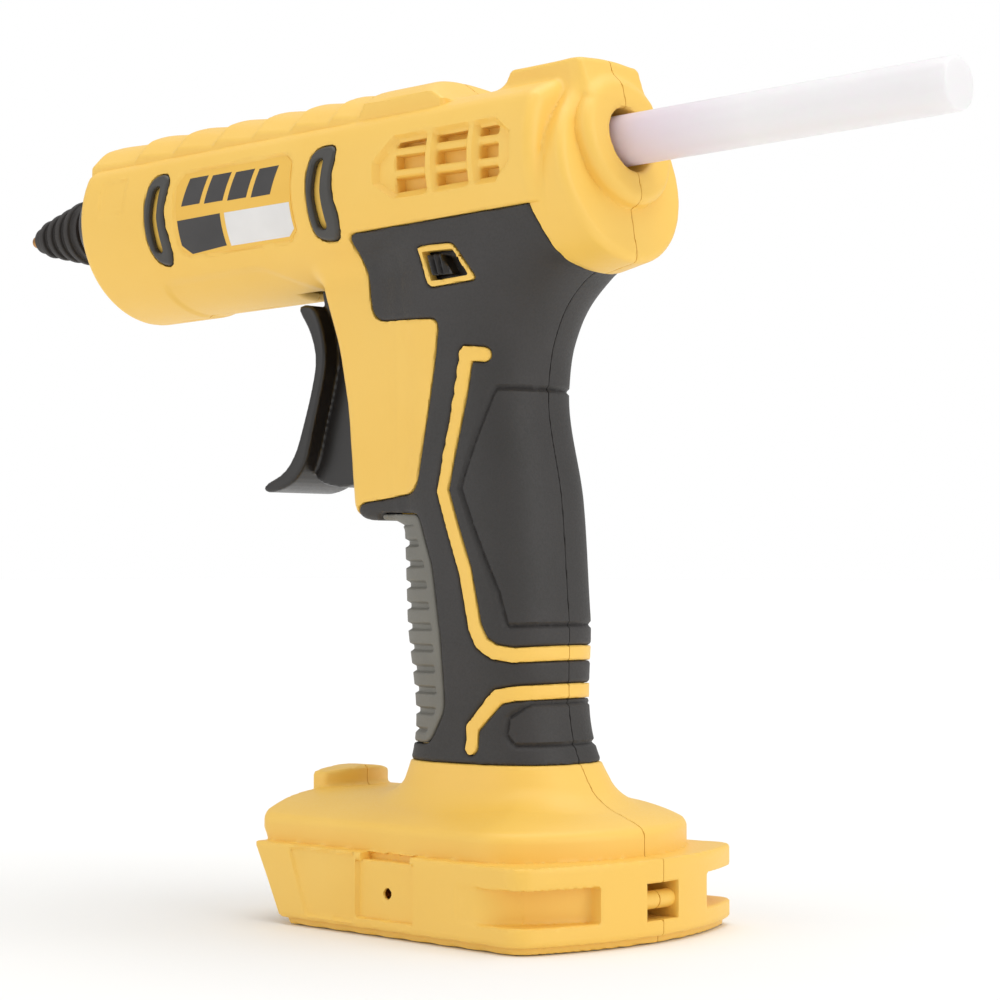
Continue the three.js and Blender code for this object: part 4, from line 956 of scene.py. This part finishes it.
# ------------------------------------------------------------------ screws, by Geometry Nodes
def screw_tree():
    """Pan-head screws with a cross recess, one at each point, head towards -Y."""
    tree = bpy.data.node_groups.new("pan_head_screws", "GeometryNodeTree")
    sizes = (("Shaft radius", 1.5 * MM), ("Shaft length", 20 * MM), ("Head radius", 2.8 * MM),
             ("Head height", 2.2 * MM), ("Recess width", 0.8 * MM))
    tree.interface.new_socket("Points", in_out="INPUT", socket_type="NodeSocketGeometry")
    for label, size in sizes:
        socket = tree.interface.new_socket(label, in_out="INPUT", socket_type="NodeSocketFloat")
        socket.default_value = size
    tree.interface.new_socket("Finish", in_out="INPUT", socket_type="NodeSocketMaterial")
    tree.interface.new_socket("Screws", in_out="OUTPUT", socket_type="NodeSocketGeometry")
    given = add(tree, "NodeGroupInput").outputs

    def half(value, factor=0.5):
        return add(tree, "ShaderNodeMath", {0: value, 1: factor}, operation="MULTIPLY").outputs[0]

    def up(height):
        return add(tree, "ShaderNodeCombineXYZ", {"Z": height}).outputs[0]

    shaft = add(tree, "GeometryNodeMeshCylinder", {
        "Vertices": 24, "Radius": given["Shaft radius"], "Depth": given["Shaft length"]})
    shaft_low = add(tree, "GeometryNodeTransform", {
        "Geometry": shaft.outputs["Mesh"], "Translation": up(half(given["Shaft length"], -0.45))})
    head = add(tree, "GeometryNodeMeshCone", {
        "Vertices": 32, "Side Segments": 3, "Radius Top": half(given["Head radius"], 0.8),
        "Radius Bottom": given["Head radius"], "Depth": given["Head height"]})
    joined = add(tree, "GeometryNodeMeshBoolean", operation="UNION")
    tree.links.new(shaft_low.outputs[0], joined.inputs["Mesh 2"])
    tree.links.new(head.outputs["Mesh"], joined.inputs["Mesh 2"])
    cuts = []
    for across in (0, 1):
        size = add(tree, "ShaderNodeCombineXYZ", {
            "XYZ"[across]: half(given["Head radius"], 1.2), "XYZ"[1 - across]: given["Recess width"],
            "Z": given["Head height"]})
        bar = add(tree, "GeometryNodeMeshCube", {"Size": size.outputs[0]})
        cuts.append(add(tree, "GeometryNodeTransform", {
            "Geometry": bar.outputs["Mesh"], "Translation": up(half(given["Head height"], 1.15))}))
    cross = add(tree, "GeometryNodeMeshBoolean", operation="UNION")
    for cut in cuts:
        tree.links.new(cut.outputs[0], cross.inputs["Mesh 2"])
    screw = add(tree, "GeometryNodeMeshBoolean", {"Mesh 1": joined.outputs["Mesh"]},
                operation="DIFFERENCE")
    tree.links.new(cross.outputs["Mesh"], screw.inputs["Mesh 2"])
    many = add(tree, "GeometryNodeInstanceOnPoints", {
        "Points": given["Points"], "Instance": screw.outputs["Mesh"],
        "Rotation": (-math.pi / 2, 0, 0)})
    real = add(tree, "GeometryNodeRealizeInstances", {"Geometry": many.outputs[0]})
    painted = add(tree, "GeometryNodeSetMaterial", {"Geometry": real.outputs[0],
                                                    "Material": given["Finish"]})
    add(tree, "NodeGroupOutput", {"Screws": painted.outputs[0]})
    return tree


def grown(name, tree, base_mesh, inputs):
    """The plain mesh that a Geometry Nodes tree makes from a base mesh."""
    carrier = bpy.data.objects.new(name, base_mesh)
    bpy.context.scene.collection.objects.link(carrier)
    modifier = carrier.modifiers.new("grow", "NODES")
    modifier.node_group = tree
    for item in tree.interface.items_tree:
        if item.in_out == "INPUT" and item.name in inputs:
            modifier[item.identifier] = inputs[item.name]
    evaluated = carrier.evaluated_get(bpy.context.evaluated_depsgraph_get())
    made = bpy.data.meshes.new_from_object(evaluated)
    carrier.modifiers.remove(modifier)
    carrier.data = made
    return carrier


screw_nodes = sorted(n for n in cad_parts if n.startswith("housing_screw"))
seats = bpy.data.meshes.new("screw_seats")
centres = []
for node in screw_nodes:
    low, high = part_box(node)
    centres.append(((low.x + high.x) / 2, high.y - 1.1 * MM, (low.z + high.z) / 2))
seats.from_pydata(centres, [], [])
screws = grown("shell_screws", screw_tree(), seats, {"Finish": STEEL})
finish_piece(shade(screws), STEEL, "shell", "steel", *screw_nodes)

# ------------------------------------------------------------------ CAD pieces that stay
KEPT = {
    "trigger_pin": STEEL, "feed_carriage": WHITE_NYLON, "feed_claw": STEEL,
    "guide_tube": ALUMINIUM, "melt_chamber": ALUMINIUM, "heater_plate": CERAMIC,
    "thermal_cutout": ABS, "heat_shield": ALUMINIUM, "inlet_seal": SILICONE,
    "switch_body": ABS, "control_board": BOARD, "board_heat_sink": ALUMINIUM,
    "lamp_lens": LENS, "terminal_block": ABS, "hook_insert_left": BRASS,
    "hook_insert_right": BRASS,
}
for node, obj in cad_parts.items():
    if node in KEPT:
        wanted = KEPT[node]
    elif node.startswith("terminal_blade"):
        wanted = STEEL
    elif "lead" in node:
        wanted = SILICONE
    else:
        continue
    obj.data.materials.clear()
    obj.data.materials.append(wanted)

# ------------------------------------------------------------------ floor, light and camera
def plane(name, size, height):
    mesh = bpy.data.meshes.new(name)
    s = size / 2
    mesh.from_pydata([(-s, -s, height), (s, -s, height), (s, s, height), (-s, s, height)], [],
                     [(0, 1, 2, 3)])
    obj = bpy.data.objects.new(name, mesh)
    bpy.context.scene.collection.objects.link(obj)
    return obj


PAPER = finish("white_paper_floor", ("#F6F6F5", "#F2F2F1"), (0.7, 0.8), 2, 0.01, 300)
floor = plane("studio_floor", 40.0, -0.0002)
floor.data.materials.append(PAPER)

# A wide white room lights the gun evenly; the camera sees the same white that the floor has.
world = bpy.data.worlds.new("studio")
bpy.context.scene.world = world
world.use_nodes = True
sky = world.node_tree
sky.nodes.clear()
room = add(sky, "ShaderNodeBackground", {"Color": (1, 1, 1, 1), "Strength": 0.6})
seen = add(sky, "ShaderNodeBackground", {"Color": (1, 1, 1, 1), "Strength": 1.0})
ray = add(sky, "ShaderNodeLightPath").outputs["Is Camera Ray"]
mixed_sky = add(sky, "ShaderNodeMixShader", {0: ray, 1: room.outputs[0], 2: seen.outputs[0]})
add(sky, "ShaderNodeOutputWorld", {"Surface": mixed_sky.outputs[0]})


def soft_sun(name, direction, strength, spread):
    """A broad, even light from one direction."""
    light = bpy.data.lights.new(name, "SUN")
    light.energy, light.angle = strength, math.radians(spread)
    obj = bpy.data.objects.new(name, light)
    obj.rotation_euler = Vector(direction).to_track_quat("Z", "Y").to_euler()
    bpy.context.scene.collection.objects.link(obj)


soft_sun("top_light", (0.05, 0.1, 1), 1.45, 60)
soft_sun("rear_light", (1.0, 0.15, 0.35), 0.85, 50)
soft_sun("side_light", (-0.5, -1.0, 0.4), 0.45, 50)

camera = bpy.data.cameras.new("camera")
camera.lens, camera.sensor_width = 97.2, 36.0
camera.clip_start = 0.01
eye = bpy.data.objects.new("camera", camera)
eye.location = (0.4216, -0.4602, 0.0792)
eye.rotation_euler = (math.radians(91.5275), 0, math.radians(41))
bpy.context.scene.collection.objects.link(eye)
bpy.context.scene.camera = eye
bpy.context.scene.view_settings.view_transform = "Standard"
